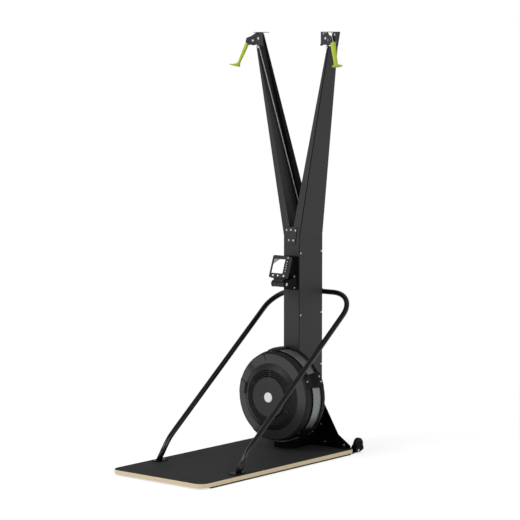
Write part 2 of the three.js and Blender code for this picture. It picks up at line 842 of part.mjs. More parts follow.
function addPulleyBrackets() {
  const halfGap = bracketCheekGap / 2;
  const bottom = bracketBottomHeight;
  const top = bracketTopHeight;
  const tipTop = bracketTipHeight + bracketTipRise;
  const cheekPoints = (start) => roundedOutline([
    [start, bottom, 0],
    [bracketChamferStart, bottom, bracketTipRadius / 2],
    [bracketCheekLength, bracketTipHeight, bracketTipRadius],
    [bracketCheekLength - bracketTipLean, tipTop, bracketTipRadius],
    [bracketBrowReach, tipTop + bracketTipLean * 2, bracketTipRadius * 3],
    [start, top, 0],
  ], 4);
  // Each cheek starts where it meets its own mounting flange on the arm.
  const frontPlane = -seatGap;
  const frontStart = (bracketRoot.y - halfGap * across.y - frontPlane) / -pointing.y;
  const sideOf = (height) => outerAt(height) + seatGap;
  const sidePlane = sideOf(bottom);
  const rearStart = (sidePlane - bracketRoot.x - halfGap * across.x) / pointing.x;
  const frontCheek = intoBracketPlane(
    plateXZ(cheekPoints(frontStart - bracketPlate / 2), -halfGap - bracketPlate, -halfGap),
  );
  const rearCheek = intoBracketPlane(
    plateXZ(cheekPoints(rearStart - bracketPlate / 2), halfGap, halfGap + bracketPlate),
  );
  const frontBend = bracketRoot.clone()
    .addScaledVector(across, -halfGap - bracketPlate / 2)
    .addScaledVector(pointing, frontStart);
  const rearBend = bracketRoot.clone()
    .addScaledVector(across, halfGap + bracketPlate / 2)
    .addScaledVector(pointing, rearStart);

  // Front flange, flat on the arm's front face, with its window and its foot
  const flangeInner = frontBend.x - bracketFlangeWidth;
  const frontFlange = block(
    flangeInner,
    frontBend.x + bracketPlate / 2,
    frontPlane - bracketPlate,
    frontPlane,
    bottom,
    top,
  );
  const flangeFoot = block(
    flangeInner - bracketFootDrop,
    flangeInner + bracketFootWidth,
    frontPlane - bracketPlate,
    frontPlane,
    bottom - bracketFootDrop,
    bottom + bracketFootDrop,
  );
  const windowTop = top - bracketWindowDrop;
  const flangeWindow = block(
    flangeInner + bracketFootWidth,
    flangeInner + bracketFootWidth + bracketWindowWidth,
    frontPlane - bracketPlate - cutOverrun,
    frontPlane + cutOverrun,
    windowTop - bracketWindowHeight,
    windowTop,
  );
  // Rear flange, flat on the arm's sloping outer face
  const backEnd = rearBend.y + bracketBackDepth;
  const ring = (height) => [
    new THREE.Vector3(sideOf(height), rearBend.y, height),
    new THREE.Vector3(sideOf(height) + bracketPlate, rearBend.y, height),
    new THREE.Vector3(sideOf(height) + bracketPlate, backEnd, height),
    new THREE.Vector3(sideOf(height), backEnd, height),
  ];
  const rearFlange = skin([ring(bottom - bracketFootDrop * 2), ring(top)]);
  // Bridge over the arm's open top, from flange to flange
  const bridge = block(
    flangeInner,
    sideOf(top),
    frontPlane - bracketPlate,
    rearBend.y + bracketBridgeDepth,
    top - bracketPlate,
    top,
  );
  const axleBore = intoBracketPlane(
    rodY(topAxleRadius + seatGap / 2, -bracketCheekGap, bracketCheekGap, topPulleyReach, topPulleyHeight, 16),
  );
  const plates = join(frontCheek, rearCheek, frontFlange, flangeFoot, rearFlange, bridge);
  const armSpace = armPrism(
    [
      [flangeInner, -seatGap],
      [sideOf(bottom - bracketFootDrop * 3), -seatGap],
      [sideOf(bottom - bracketFootDrop * 3), columnDepth],
      [flangeInner, columnDepth],
    ],
    [
      [flangeInner, -seatGap],
      [sideOf(armTopHeight), -seatGap],
      [sideOf(armTopHeight), columnDepth],
      [flangeInner, columnDepth],
    ],
    bottom - bracketFootDrop * 3,
    armTopHeight,
  );
  addPair("pulley_bracket", cut(plates, flangeWindow, axleBore, armSpace), blackPaint);

  const halfPulley = topPulleyWidth / 2;
  const pulley = intoBracketPlane(
    turned(groovedProfile(topAxleRadius, topPulleyGroove, topPulleyRim, halfPulley), 0, 20)
      .translate(topPulleyReach, 0, topPulleyHeight),
  );
  addPair("top_pulley", pulley, blackPlastic);
  const headEnd = halfGap + bracketPlate + seatGap;
  const headLength = topAxleRadius;
  const headRadius = topAxleRadius * 1.6;
  const axle = join(
    intoBracketPlane(rodY(topAxleRadius, -headEnd, headEnd, topPulleyReach, topPulleyHeight, 16)),
    intoBracketPlane(rodY(headRadius, -headEnd - headLength, -headEnd, topPulleyReach, topPulleyHeight, 6)),
    intoBracketPlane(rodY(headRadius, headEnd, headEnd + headLength, topPulleyReach, topPulleyHeight, 6)),
  );
  addPair("pulley_axle", axle, steel);
}

// A pulley's profile as [radius, place along the axle], with a groove for the cord.
function groovedProfile(axle, groove, rim, half) {
  const bore = axle + runningGap / 2;
  const floor = groove - cordRadius - runningGap;
  const floorHalf = cordRadius * 0.9;
  const lip = half / 6;
  return [
    [bore, -half],
    [rim, -half],
    [rim, -half + lip],
    [floor, -floorHalf],
    [floor, floorHalf],
    [rim, half - lip],
    [rim, half],
    [bore, half],
  ];
}

// Where the right handle hangs, and the point where its cord leaves the top pulley
const handleTop = bracketRoot.clone().addScaledVector(pointing, handleTopReach).setZ(handleTopHeight);
const handleAxis = pointing.clone().multiplyScalar(Math.sin(handleTilt)).setZ(-Math.cos(handleTilt));
const handleSpan = handleTop.distanceTo(topPulleyCentre);
const handleFall = Math.asin((topPulleyHeight - handleTopHeight) / handleSpan);
const leadAngle = Math.PI / 2 - handleFall - Math.asin(topPulleyGroove / handleSpan);
const leadTop = topPulleyCentre.clone()
  .addScaledVector(pointing, topPulleyGroove * Math.cos(leadAngle))
  .setZ(topPulleyHeight + topPulleyGroove * Math.sin(leadAngle));

function addHandles() {
  const grip = [
    [0, gripTopRadius * 0.6, 0],
    [0.03, gripTopRadius * 0.92, 0],
    [0.1, gripTopRadius, 0],
    [0.4, gripMiddleRadius, 0],
    [0.72, gripNeckRadius, 0],
    [0.86, gripNeckRadius * 1.1, 0],
  ];
  const rings = grip.map(([share, radius]) => ovalRing(0, -handleLength * share, radius, radius, 20));
  const flareTop = -handleLength + flareThickness;
  const lean = (ring) => ring.map((point) => point.setZ(point.z - point.x * Math.tan(flareLean)));
  rings.push(lean(ovalRing(flareOffset / 3, flareTop + flareThickness * 1.6, gripNeckRadius * 1.5,
    gripNeckRadius * 1.4, 20)));
  rings.push(lean(ovalRing(flareOffset, flareTop, flareHalfLength, flareHalfWidth, 20)));
  rings.push(lean(ovalRing(flareOffset, -handleLength, flareHalfLength * 0.94, flareHalfWidth * 0.94, 20)));
  const down = new THREE.Vector3(0, 0, -1);
  const turn = new THREE.Quaternion().setFromUnitVectors(down, handleAxis);
  const spin = new THREE.Matrix4().makeRotationZ(-(Math.PI / 2 - bracketTurn));
  const handle = skin(rings).applyMatrix4(spin).applyQuaternion(turn);
  handle.translate(handleTop.x, handleTop.y, handleTop.z);
  addPair("handle", handle, greenPlastic);

  const leadWay = handleTop.clone().sub(leadTop).normalize();
  const lead = tube([
    leadTop.clone().addScaledVector(leadWay, seatGap),
    handleTop.clone().addScaledVector(leadWay, -seatGap - cordRadius / 4),
  ], cordRadius, 8);
  addPair("cord_lead", lead, cordCover);
}

// Guide pulleys in the fork turn the sloping cords to run straight down to the drums.
const cordDropX = -drumGroove;
const guides = {
  left: { x: cordDropX - guidePulleyGroove, y: leftCordDepth },
  right: { x: cordDropX + guidePulleyGroove, y: rightCordDepth },
};

function addGuidePulleys() {
  const profile = groovedProfile(guideAxleRadius, guidePulleyGroove, guidePulleyRim, guidePulleyWidth / 2);
  for (const side of ["left", "right"]) {
    const { x, y } = guides[side];
    const pulley = turned(profile, guideHeight, 16).translate(x, y, 0);
    addMesh(`${side}_guide_pulley`, pulley, blackPlastic);
    const wallFront = sheetWall + seatGap;
    const wallBack = columnDepth - sheetWall - seatGap;
    const nearFront = y < columnDepth / 2;
    const start = nearFront ? wallFront : y - guidePulleyWidth;
    const end = nearFront ? y + guidePulleyWidth : wallBack;
    addMesh(`${side}_guide_axle`, rodY(guideAxleRadius, start, end, x, guideHeight, 16), steel);
  }
}

function arcPoints(centre, radius, from, to, steps, u, v) {
  return Array.from({ length: steps + 1 }, (_, k) => {
    const angle = from + ((to - from) * k) / steps;
    return centre.clone()
      .addScaledVector(u, radius * Math.cos(angle))
      .addScaledVector(v, radius * Math.sin(angle));
  });
}

// Each cord: from the handle's side over the top pulley, down the arm, past its guide pulley and
// once round the drum on the fan's axle.
function addDriveCords() {
  const up = new THREE.Vector3(0, 0, 1);
  const sideways = new THREE.Vector3(1, 0, 0);
  const leaveAngle = Math.PI - cordLeaveAngle;
  const upperArc = arcPoints(topPulleyCentre, topPulleyGroove, leadAngle, leaveAngle, 10, pointing, up);
  for (const side of ["left", "right"]) {
    const mirror = side === "left" ? -1 : 1;
    const flip = (point) => new THREE.Vector3(point.x * mirror, point.y, point.z);
    const guide = guides[side];
    const bendStart = new THREE.Vector3(cordDropX, guide.y, guideHeight);
    const drumCentre = new THREE.Vector3(0, guide.y, fanHeight);
    const wrap = arcPoints(drumCentre, drumGroove, Math.PI, Math.PI * 1.75, 8, sideways, up);
    const knots = [
      ...upperArc.map(flip),
      bendStart.clone().add(new THREE.Vector3(0, 0, guidePulleyGroove / 4)),
      bendStart.clone().add(new THREE.Vector3(0, 0, -guidePulleyGroove)),
      ...wrap,
    ];
    addMesh(`${side}_drive_cord`, tube(knots, cordRadius, 8), cordCover);
  }
}

// Axle line: bearings in the column's front and rear walls, one-way drums and their recoil springs
function addAxleLine() {
  const z = fanHeight;
  const rearEnd = columnDepth - sheetWall - seatGap;
  const axleFront = centrePlateFace + centrePlateThickness * 2;
  addMesh("fan_axle", rodY(axleRadius, axleFront, columnDepth, 0, z, 24), steel);
  const bearing = (yLow) => turned([
    [axleRadius + seatGap / 2, yLow],
    [bearingRadius, yLow],
    [bearingRadius, yLow + bearingWidth],
    [axleRadius + seatGap / 2, yLow + bearingWidth],
  ], z, 24);
  addMesh("front_bearing", bearing(sheetWall + seatGap), steel);
  addMesh("rear_bearing", bearing(rearEnd - bearingWidth), steel);
  const frontDrumY = rightCordDepth;
  const rearDrumY = leftCordDepth;
  const drumProfile = groovedProfile(axleRadius, drumGroove, drumRim, drumWidth / 2);
  addMesh("right_cord_drum", turned(drumProfile, z, 20).translate(0, frontDrumY, 0), blackPlastic);
  addMesh("left_cord_drum", turned(drumProfile, z, 20).translate(0, rearDrumY, 0), blackPlastic);
  const recoil = (yLow) => turned([
    [axleRadius + seatGap, yLow],
    [recoilRadius, yLow],
    [recoilRadius, yLow + recoilWidth],
    [axleRadius + seatGap, yLow + recoilWidth],
  ], z, 20);
  addMesh("right_recoil_case", recoil(frontDrumY + drumWidth / 2 + runningGap), steel);
  addMesh("left_recoil_case", recoil(rearDrumY - drumWidth / 2 - runningGap - recoilWidth), steel);
}

function bladeOutline(startAngle) {
  const steps = 3;
  const half = fanBladeThickness / 2;
  const edge = (offset) => Array.from({ length: steps + 1 }, (_, k) => {
    const share = k / steps;
    const radius = fanInnerRadius + (fanRadius - fanInnerRadius) * share;
    const angle = startAngle - fanBladeSweep * share * share;
    const x = radius * Math.cos(angle) - offset * Math.sin(angle);
    const z = radius * Math.sin(angle) + offset * Math.cos(angle);
    return [x, z];
  });
  return [...edge(-half), ...edge(half).reverse()];
}

// The fan: a back disc on its hub, curved blades, and a ring that ties their front edges
function addFanWheel() {
  const discFront = fanBack - fanDisc;
  const ringWidth = (fanRadius - fanInnerRadius) / 6;
  const hub = turned([
    [axleRadius + seatGap / 2, fanFront],
    [fanHubRadius, fanFront],
    [fanHubRadius, discFront],
    [fanRadius, discFront],
    [fanRadius, fanBack],
    [axleRadius + seatGap / 2, fanBack],
  ], 0, 40);
  const frontRing = turned([
    [fanRadius - ringWidth, fanFront],
    [fanRadius, fanFront],
    [fanRadius, fanFront + fanDisc],
    [fanRadius - ringWidth, fanFront + fanDisc],
  ], 0, 40);
  const blades = Array.from({ length: fanBladeCount }, (_, i) => (
    plateXZ(bladeOutline((fullTurn * i) / fanBladeCount), fanFront + fanDisc / 2, discFront + fanDisc / 2)
  ));
  const wheel = toGeometry(join(hub, frontRing, ...blades)).translate(0, 0, fanHeight);
  addMesh("fan_wheel", wheel, satinPlastic);
}

function addFanCage() {
  const z = fanHeight;
  const corner = coverWall * 2;
  const damperSeat = damperFace + damperThickness + seatGap;
  const innerSeat = damperSeat - damperRise;
  const lipRadius = damperInnerRadius - runningGap;
  const bevelFace = innerSeat - damperThickness - seatGap;
  // Front cover: rim, the seat of the damper ring, the bevel and the intake's edge
  const cover = turned([
    [coverRadius - coverWall, coverRimBack],
    [coverRadius, coverRimBack],
    [coverRadius, coverRimFront],
    [coverRadius - corner / 2, coverRimFront - corner],
    [damperOuterRadius + runningGap, damperSeat - damperThickness],
    [damperOuterRadius + runningGap, damperSeat],
    [lipRadius, innerSeat],
    [lipRadius, bevelFace],
    [intakeRadius + coverWall, intakeFace],
    [intakeRadius, intakeFace],
    [intakeRadius, intakeFace + coverWall * 3],
    [lipRadius, innerSeat + coverWall],
    [coverRadius - corner, coverRimFront + coverWall - corner / 2],
  ], z, 48);
  addMesh("fan_front_cover", cover, blackPlastic);

  // Damper ring: a shallow cone with a thumb tab and one slanting slit
  const ring = turned([
    [damperInnerRadius, innerSeat - seatGap],
    [damperOuterRadius, damperSeat - seatGap],
    [damperOuterRadius, damperSeat - seatGap - damperThickness],
    [damperInnerRadius, innerSeat - seatGap - damperThickness],
  ], 0, 48);
  const tabWedge = plateXZ([
    [0, 0],
    [coverRadius * 2 * Math.cos(damperTabAngle - damperTabHalfAngle),
      coverRadius * 2 * Math.sin(damperTabAngle - damperTabHalfAngle)],
    [coverRadius * 2 * Math.cos(damperTabAngle + damperTabHalfAngle),
      coverRadius * 2 * Math.sin(damperTabAngle + damperTabHalfAngle)],
  ], damperFace * 2, 0);
  const tabRing = turned([
    [damperInnerRadius + seatGap, innerSeat - damperThickness / 2],
    [damperOuterRadius, damperSeat - damperThickness / 2],
    [damperOuterRadius - damperTabHeight / 2, damperSeat - damperThickness - damperTabHeight],
    [damperInnerRadius + damperTabHeight / 2, innerSeat - damperThickness - damperTabHeight],
  ], 0, 48);
  const tab = toSolid(tabRing).intersect(toSolid(tabWedge));
  const slitLength = damperOuterRadius - damperInnerRadius;
  const slit = new THREE.BoxGeometry(slitLength * 0.8, columnWidth, damperSlitWidth);
  slit.rotateY(-damperSlitAngle - damperTabHalfAngle * 2);
  slit.translate(
    (damperOuterRadius - slitLength * 0.2) * Math.cos(damperSlitAngle),
    damperFace,
    (damperOuterRadius - slitLength * 0.2) * Math.sin(damperSlitAngle),
  );
  const damper = toGeometry(cut(toSolid(ring).add(tab), slit)).translate(0, 0, z);
  addMesh("damper_ring", damper, satinPlastic);

  // Intake grille: centre plate, rings and spokes in one moulding
  const ringBack = intakeFace + coverWall * 2;
  const spokeBack = ringBack + coverWall;
  const pieces = [turned([
    [axleRadius, centrePlateFace],
    [centrePlateRadius - coverWall, centrePlateFace],
    [centrePlateRadius, centrePlateFace + coverWall],
    [centrePlateRadius, ringBack],
    [centrePlateRadius - coverWall, ringBack],
    [centrePlateRadius - coverWall * 2, centrePlateFace + centrePlateThickness],
    [axleRadius, centrePlateFace + centrePlateThickness],
  ], 0, 48)];
  const grilleEdge = intakeRadius - seatGap;
  for (let inner = centrePlateRadius + grilleRingPitch - grilleRingWidth; inner < grilleEdge - grilleRingWidth;
    inner += grilleRingPitch) {
    pieces.push(turned([
      [inner, intakeFace],
      [inner + grilleRingWidth, intakeFace],
      [inner + grilleRingWidth, ringBack],
      [inner, ringBack],
    ], 0, 48));
  }
  for (let i = 0; i < grilleSpokes; i += 1) {
    const spoke = block(
      centrePlateRadius - coverWall,
      grilleEdge,
      intakeFace + coverWall,
      spokeBack,
      -grilleSpokeWidth / 2,
      grilleSpokeWidth / 2,
    );
    pieces.push(spoke.rotateY((-fullTurn * (i + 0.5)) / grilleSpokes));
  }
  addMesh("intake_grille", toGeometry(join(...pieces)).translate(0, 0, z), satinPlastic);

  const capBack = centrePlateFace - seatGap;
  addMesh("hub_cap", turned([
    [0, capBack],
    [hubCapRadius, capBack],
    [hubCapRadius, capBack - hubCapThickness / 2],
    [hubCapRadius - hubCapThickness / 2, capBack - hubCapThickness],
    [0, capBack - hubCapThickness],
  ], z, 32), whitePlastic);

  // Screen: the perforated steel band that the air leaves through
  addMesh("fan_screen", turned([
    [screenRadius, screenFront],
    [screenRadius + screenThickness, screenFront],
    [screenRadius + screenThickness, screenBack],
    [screenRadius, screenBack],
  ], z, 48), screenSteel);

  // Rear housing: rim, dished plate and the boss that seats on the column
  addMesh("fan_rear_housing", turned([
    [rearRimRadius - coverWall * 2, rearRimFront],
    [rearRimRadius, rearRimFront],
    [rearRimRadius, rearRimBack],
    [rearRimRadius - corner, rearPlateFront],
    [rearBossRadius * 2, rearPlateFront + rearPlateThickness * 2],
    [rearBossRadius, -seatGap],
    [axleRadius + runningGap, -seatGap],
    [axleRadius + runningGap, rearPlateFront + rearPlateThickness],
    [rearBossRadius * 2, rearPlateFront + rearPlateThickness],
    [rearRimRadius - corner * 2, rearPlateFront - rearPlateThickness],
    [rearRimRadius - corner * 2, rearRimFront - seatGap * 2],
    [rearRimRadius - coverWall * 2, rearRimFront - seatGap * 2],
  ], z, 48), blackPlastic);
  addCageClips();
}

// Clips: folded straps that tie the front cover's rim to the rear housing's rim
function addCageClips() {
  const frontSeat = coverRadius + seatGap;
  const rearSeat = rearRimRadius + seatGap;
  const screenSeat = screenRadius + screenThickness + seatGap;
  const strap = toSolid(turned([
    [frontSeat, coverRimFront],
    [frontSeat, screenFront - coverWall * 2],
    [screenSeat, screenFront - seatGap * 2],
    [rearSeat, rearRimFront - coverWall * 3],
    [rearSeat, rearRimBack],
    [rearSeat + clipThickness, rearRimBack],
    [rearSeat + clipThickness, rearRimFront - coverWall * 5],
    [screenSeat + clipThickness, screenFront - coverWall],
    [frontSeat + clipThickness, screenFront - coverWall * 4],
    [frontSeat + clipThickness, coverRimFront],
  ], 0, 48));
  const clipOutline = roundedOutline([
    [coverRimFront, -clipFrontHalfWidth, clipCorner],
    [rearRimBack, -clipRearHalfWidth, clipCorner],
    [rearRimBack, clipRearHalfWidth, clipCorner],
    [coverRimFront, clipFrontHalfWidth, clipCorner],
  ], 3);
  for (let i = 0; i < clipCount; i += 1) {
    const angle = clipFirstAngle - (fullTurn * i) / clipCount;
    const wedge = toSolid(plateYZ(clipOutline, 0, rearRimRadius * 2).rotateY(-angle));
    const clip = toGeometry(strap.intersect(wedge)).translate(0, 0, fanHeight);
    addMesh(`cage_clip_${i + 1}`, clip, blackPlastic);
  }
}

function caseOutline(inset, bottomInset = inset) {
  const side = monitorWidth / 2 - inset;
  const radius = monitorCorner - inset / 2;
  return roundedOutline([
    [-side, monitorCaseBottom + bottomInset, radius],
    [side, monitorCaseBottom + bottomInset, radius],
    [side, monitorCaseTop - inset, radius],
    [-side, monitorCaseTop - inset, radius],
  ], 4);
}

function addMonitor() {
  const holder = new THREE.Group();
  holder.position.set(0, -monitorReach, monitorHeight);
  holder.rotation.x = -monitorTilt;
  model.add(holder);
  const split = monitorFace + monitorFrontDepth;
  const back = split + seatGap + monitorBackDepth;
  const lensFace = monitorFace + lensThickness / 2;
  const lensBack = lensFace + lensThickness;

  // Front half: bezel with the window, the button holes and a hollow behind the face
  const frontShell = plateXZ(caseOutline(0), monitorFace, split);
  const pocket = plateXZ(caseOutline(monitorWall), monitorFace + monitorWall * 2, split + cutOverrun);
  const lensHole = block(lensLeft, lensRight, monitorFace - cutOverrun, split + cutOverrun, lensBottom, lensTop);
  const holeRadius = buttonRadius + runningGap;
  const holes = buttonPlaces.map((x) => (
    rodY(holeRadius, monitorFace - cutOverrun, split + cutOverrun, x, buttonHeight, 16)
  ));
  addMesh("monitor_front", cut(toSolid(frontShell), pocket, lensHole, ...holes), blackPlastic, holder);

  const lens = block(
    lensLeft + seatGap,
    lensRight - seatGap,
    lensFace,
    lensBack,
    lensBottom + seatGap,
    lensTop - seatGap,
  );
  addMesh("monitor_screen", lens, lensPlastic, holder);

  // Back half: tapered case, neck and the barrel that turns on the tilt bolt
  const ringAt = (inset, y) => caseOutline(inset).map(([x, zed]) => new THREE.Vector3(x, y, zed));
  const taper = monitorBackDepth / 4;
  const backShell = skin([ringAt(0, split + seatGap), ringAt(taper / 4, back - taper), ringAt(taper, back)]);
  const hollow = plateXZ(caseOutline(monitorWall * 2), split - cutOverrun, back - monitorWall);
  const neck = block(-neckHalfWidth, neckHalfWidth, split + seatGap, barrelRadius / 2, barrelRadius / 2,
    monitorCaseBottom + monitorWall);
  const barrel = rodX(barrelRadius, -barrelHalfLength, barrelHalfLength, 0, 0, 24);
  const bore = rodX(tiltBoltRadius + seatGap / 2, -monitorWidth, monitorWidth, 0, 0, 16);
  const backCase = cut(toSolid(backShell), hollow).add(join(neck, barrel)).subtract(toSolid(bore));
  addMesh("monitor_back", backCase, blackPlastic, holder);

  ["left", "middle", "right"].forEach((side, i) => {
    const button = rodY(
      buttonRadius,
      monitorFace - buttonRise,
      split - monitorWall,
      buttonPlaces[i],
      buttonHeight,
      16,
    );
    addMesh(`${side}_button`, button, whitePlastic, holder);
  });
  const strip = block(
    keyStripPlace - keyStripWidth / 2,
    keyStripPlace + keyStripWidth / 2,
    monitorFace - seatGap - keyStripRise,
    monitorFace - seatGap,
    keyStripBottom,
    keyStripTop,
  );
  addMesh("key_strip", strip, blackRubber, holder);

  // Bracket on the column: a plate and two lugs that hold the barrel's ends
  const plateBack = -seatGap;
  const plateFront = plateBack - monitorPlateThickness;
  const plate = block(-monitorPlateHalfWidth, monitorPlateHalfWidth, plateFront, plateBack,
    monitorPlateBottom, monitorPlateTop);
  const lugOutline = roundedOutline([
    [plateFront + seatGap, monitorPlateBottom + barrelRadius, 0],
    [plateFront + seatGap, monitorHeight + barrelRadius * 2, 0],
    [-monitorReach - barrelRadius, monitorHeight + barrelRadius, barrelRadius * 0.99],
    [-monitorReach - barrelRadius, monitorHeight - barrelRadius, barrelRadius * 0.99],
  ], 6);
  const lugInner = barrelHalfLength + seatGap;
  const lug = plateYZ(lugOutline, lugInner, lugInner + lugThickness);
  const lugBore = rodX(tiltBoltRadius + seatGap / 2, -monitorWidth, monitorWidth, -monitorReach, monitorHeight, 16);
  addMesh("monitor_bracket", cut(join(plate, lug, mirrored(lug)), lugBore), deepBlackPaint);

  const boltEnd = lugInner + lugThickness + seatGap;
  const headEnd = boltEnd + tiltBoltHeadLength;
  addMesh("tilt_bolt", join(
    rodX(tiltBoltRadius, -boltEnd, boltEnd, -monitorReach, monitorHeight, 16),
    rodX(tiltBoltHead, boltEnd, headEnd, -monitorReach, monitorHeight, 12),
    rodX(tiltBoltHead, -headEnd, -boltEnd, -monitorReach, monitorHeight, 6),
  ), steel);
}

addPlatform();
addRearBeam();
addTransportWheels();
addColumnFoot();
addColumn();
addArms();
addJunctionCover();
addSupportRail();
addPulleyBrackets();
addHandles();
addGuidePulleys();
addDriveCords();
addAxleLine();
addFanWheel();
addFanCage();
addMonitor();

const group = new THREE.Group();
model.position.y = (platformUserLength - rearExtreme) / 2;
group.add(model);

export default group;
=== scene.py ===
# %% [markdown]
# # A ski trainer machine
# The real object is a tall steel column on a plywood platform. Two arms spread from its top and end
# in pulleys with green pull handles, and a caged fan sits low on the column's front. The CAD frame
# gives every size and place, so this lesson is about surfaces: paint, plywood, rubber, plastic,
# perforated steel and cord, and about the small pieces that a frame leaves out.

# %% Load the frame
import json
import math
import bmesh
import bpy
from mathutils import Matrix, Vector


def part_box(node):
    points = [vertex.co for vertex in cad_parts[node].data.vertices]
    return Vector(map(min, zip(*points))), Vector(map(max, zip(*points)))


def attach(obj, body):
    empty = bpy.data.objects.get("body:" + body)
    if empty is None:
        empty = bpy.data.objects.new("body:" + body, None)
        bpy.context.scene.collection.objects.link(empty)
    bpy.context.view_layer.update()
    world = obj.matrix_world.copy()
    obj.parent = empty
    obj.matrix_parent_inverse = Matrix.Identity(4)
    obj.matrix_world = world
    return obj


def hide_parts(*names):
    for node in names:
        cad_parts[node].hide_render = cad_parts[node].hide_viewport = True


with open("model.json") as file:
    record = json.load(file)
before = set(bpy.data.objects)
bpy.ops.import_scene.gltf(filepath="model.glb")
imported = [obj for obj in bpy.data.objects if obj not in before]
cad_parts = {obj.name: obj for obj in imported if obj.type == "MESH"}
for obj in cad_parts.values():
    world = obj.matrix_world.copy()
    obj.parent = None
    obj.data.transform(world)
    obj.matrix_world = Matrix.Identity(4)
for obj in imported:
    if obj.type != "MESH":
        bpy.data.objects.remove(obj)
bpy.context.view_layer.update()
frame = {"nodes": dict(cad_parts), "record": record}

MM = 0.001
scene = bpy.context.scene
body_names = frame["record"]["behaviour"]["bodies"]
body_of_node = {node: body for body, nodes in body_names.items() for node in nodes}
column_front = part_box("column")[0].y
print("nodes", len(frame["nodes"]), "column front at", round(column_front, 4))


def in_scene(name, content):
    """A new object with the given mesh, lamp or camera, linked to the scene."""
    made = bpy.data.objects.new(name, content)
    scene.collection.objects.link(made)
    return made


def mesh_from(work, name):
    """A mesh with all that a bmesh holds. The bmesh is freed."""
    mesh = bpy.data.meshes.new(name)
    work.to_mesh(mesh)
    work.free()
    return mesh


def piece_from(work, name, finish):
    """An object with what a bmesh holds, its faces turned outwards."""
    bmesh.ops.recalc_face_normals(work, faces=work.faces)
    mesh = mesh_from(work, name)
    mesh.materials.append(finish)
    return in_scene(name, mesh)


# %% [markdown]
# ## The camera
# The photograph looks down by less than six degrees, from the front right, through a long lens.
# A pinhole model fitted to the column, the platform's corners and the arms gives its place. The
# focal length comes out in pixels of a 520 pixel picture, and the camera wants it in millimetres on
# a 36 mm sensor, so the one is scaled into the other.

# %% Place the camera
PICTURE = 520
focal_pixels = 2136.7
azimuth = math.radians(39.91)
pitch = math.radians(5.746)
camera_place = Vector((6.8899, column_front - 8.4897, 2.0993))
looking = Vector((
    -math.sin(azimuth) * math.cos(pitch),
    math.cos(azimuth) * math.cos(pitch),
    -math.sin(pitch),
))
camera = in_scene("camera", bpy.data.cameras.new("camera"))
camera.data.sensor_width = 36
camera.data.lens = focal_pixels / PICTURE * camera.data.sensor_width
camera.location = camera_place
camera.rotation_euler = looking.to_track_quat("-Z", "Y").to_euler()
scene.camera = camera
print("lens", round(camera.data.lens, 2), "mm")


# %% [markdown]
# ## Small helpers for materials
# Colours are written as the eye reads them, in sRGB hex, and a shader wants linear light, so one
# function turns one into the other. The next one adds a node with its settings and links. The rest
# add one common kind of node each and give back the socket that the following node needs.

# %% Colour and node helpers
def linear(text, share=1.0):
    """Linear RGBA from an sRGB hex colour, made darker or lighter by a share."""
    parts = [int(text[i:i + 2], 16) / 255 for i in (1, 3, 5)]
    curve = [c / 12.92 if c <= 0.04045 else ((c + 0.055) / 1.055) ** 2.4 for c in parts]
    return (*[min(c * share, 1) for c in curve], 1)


def add(tree, kind, inputs=None, **settings):
    """Adds a node, gives it its settings, and fills its sockets from values or other nodes' sockets."""
    made = tree.nodes.new(kind)
    for name, value in settings.items():
        setattr(made, name, value)
    for name, value in (inputs or {}).items():
        if isinstance(value, bpy.types.NodeSocket):
            tree.links.new(value, made.inputs[name])
        else:
            made.inputs[name].default_value = value
    return made


def new_material(name):
    """An empty material and its tree."""
    material = bpy.data.materials.new(name)
    material.use_nodes = True
    material.node_tree.nodes.clear()
    return material, material.node_tree


def socket(tree, kind, inputs=None, **settings):
    """The first output of a new node."""
    return add(tree, kind, inputs, **settings).outputs[0]


def where(tree, kind="Object"):
    """The place on the surface, in the given coordinates."""
    return add(tree, "ShaderNodeTexCoord").outputs[kind]


def split(tree, vector):
    """The X, Y and Z of a vector."""
    return add(tree, "ShaderNodeSeparateXYZ", {"Vector": vector}).outputs


def maths(tree, operation, *values):
    """The result of a Math node."""
    return socket(tree, "ShaderNodeMath", dict(enumerate(values)), operation=operation)


def remap(tree, value, before=(0, 1), after=(0, 1), curve="LINEAR"):
    """A value moved from one range into another."""
    return add(tree, "ShaderNodeMapRange", {
        "Value": value, "From Min": before[0], "From Max": before[1], "To Min": after[0],
        "To Max": after[1]}, interpolation_type=curve).outputs["Result"]


def blend(tree, factor, first, second):
    """A colour between two colours."""
    return add(tree, "ShaderNodeMix", {"Factor": factor, "A": first, "B": second},
               data_type="RGBA").outputs["Result"]


def drifting(tree, factor, shade, spread):
    """A colour that drifts by a share to either side of a shade."""
    return blend(tree, factor, linear(shade, 1 - spread), linear(shade, 1 + spread))


def noise(tree, vector, scale, detail, distortion=0.0):
    """Noise between 0 and 1."""
    return add(tree, "ShaderNodeTexNoise", {
        "Vector": vector, "Scale": scale, "Detail": detail, "Distortion": distortion}).outputs["Fac"]


def bumped(tree, height, strength, distance):
    """A surface direction that follows a height."""
    return add(tree, "ShaderNodeBump", {
        "Height": height, "Strength": strength, "Distance": distance}).outputs["Normal"]


def principled(tree, sockets):
    """Ends a material with a Principled shader that has the given sockets."""
    skin = add(tree, "ShaderNodeBsdfPrincipled", sockets)
    add(tree, "ShaderNodeOutputMaterial", {"Surface": skin.outputs["BSDF"]})


# %% [markdown]
# ## Braided cord
# The drive cords are polyester braid, 5.5 mm thick. A braid is woven from strands that cross at a
# slant, so its surface is a fine diamond pattern. Two slanting waves on the cord's own UV map give
# that: the map runs once round the cord and counts metres along it, so the diamonds wrap and keep
# their size. The strands are 1.4 mm wide, which shows from near by and gives a soft sheen from afar.

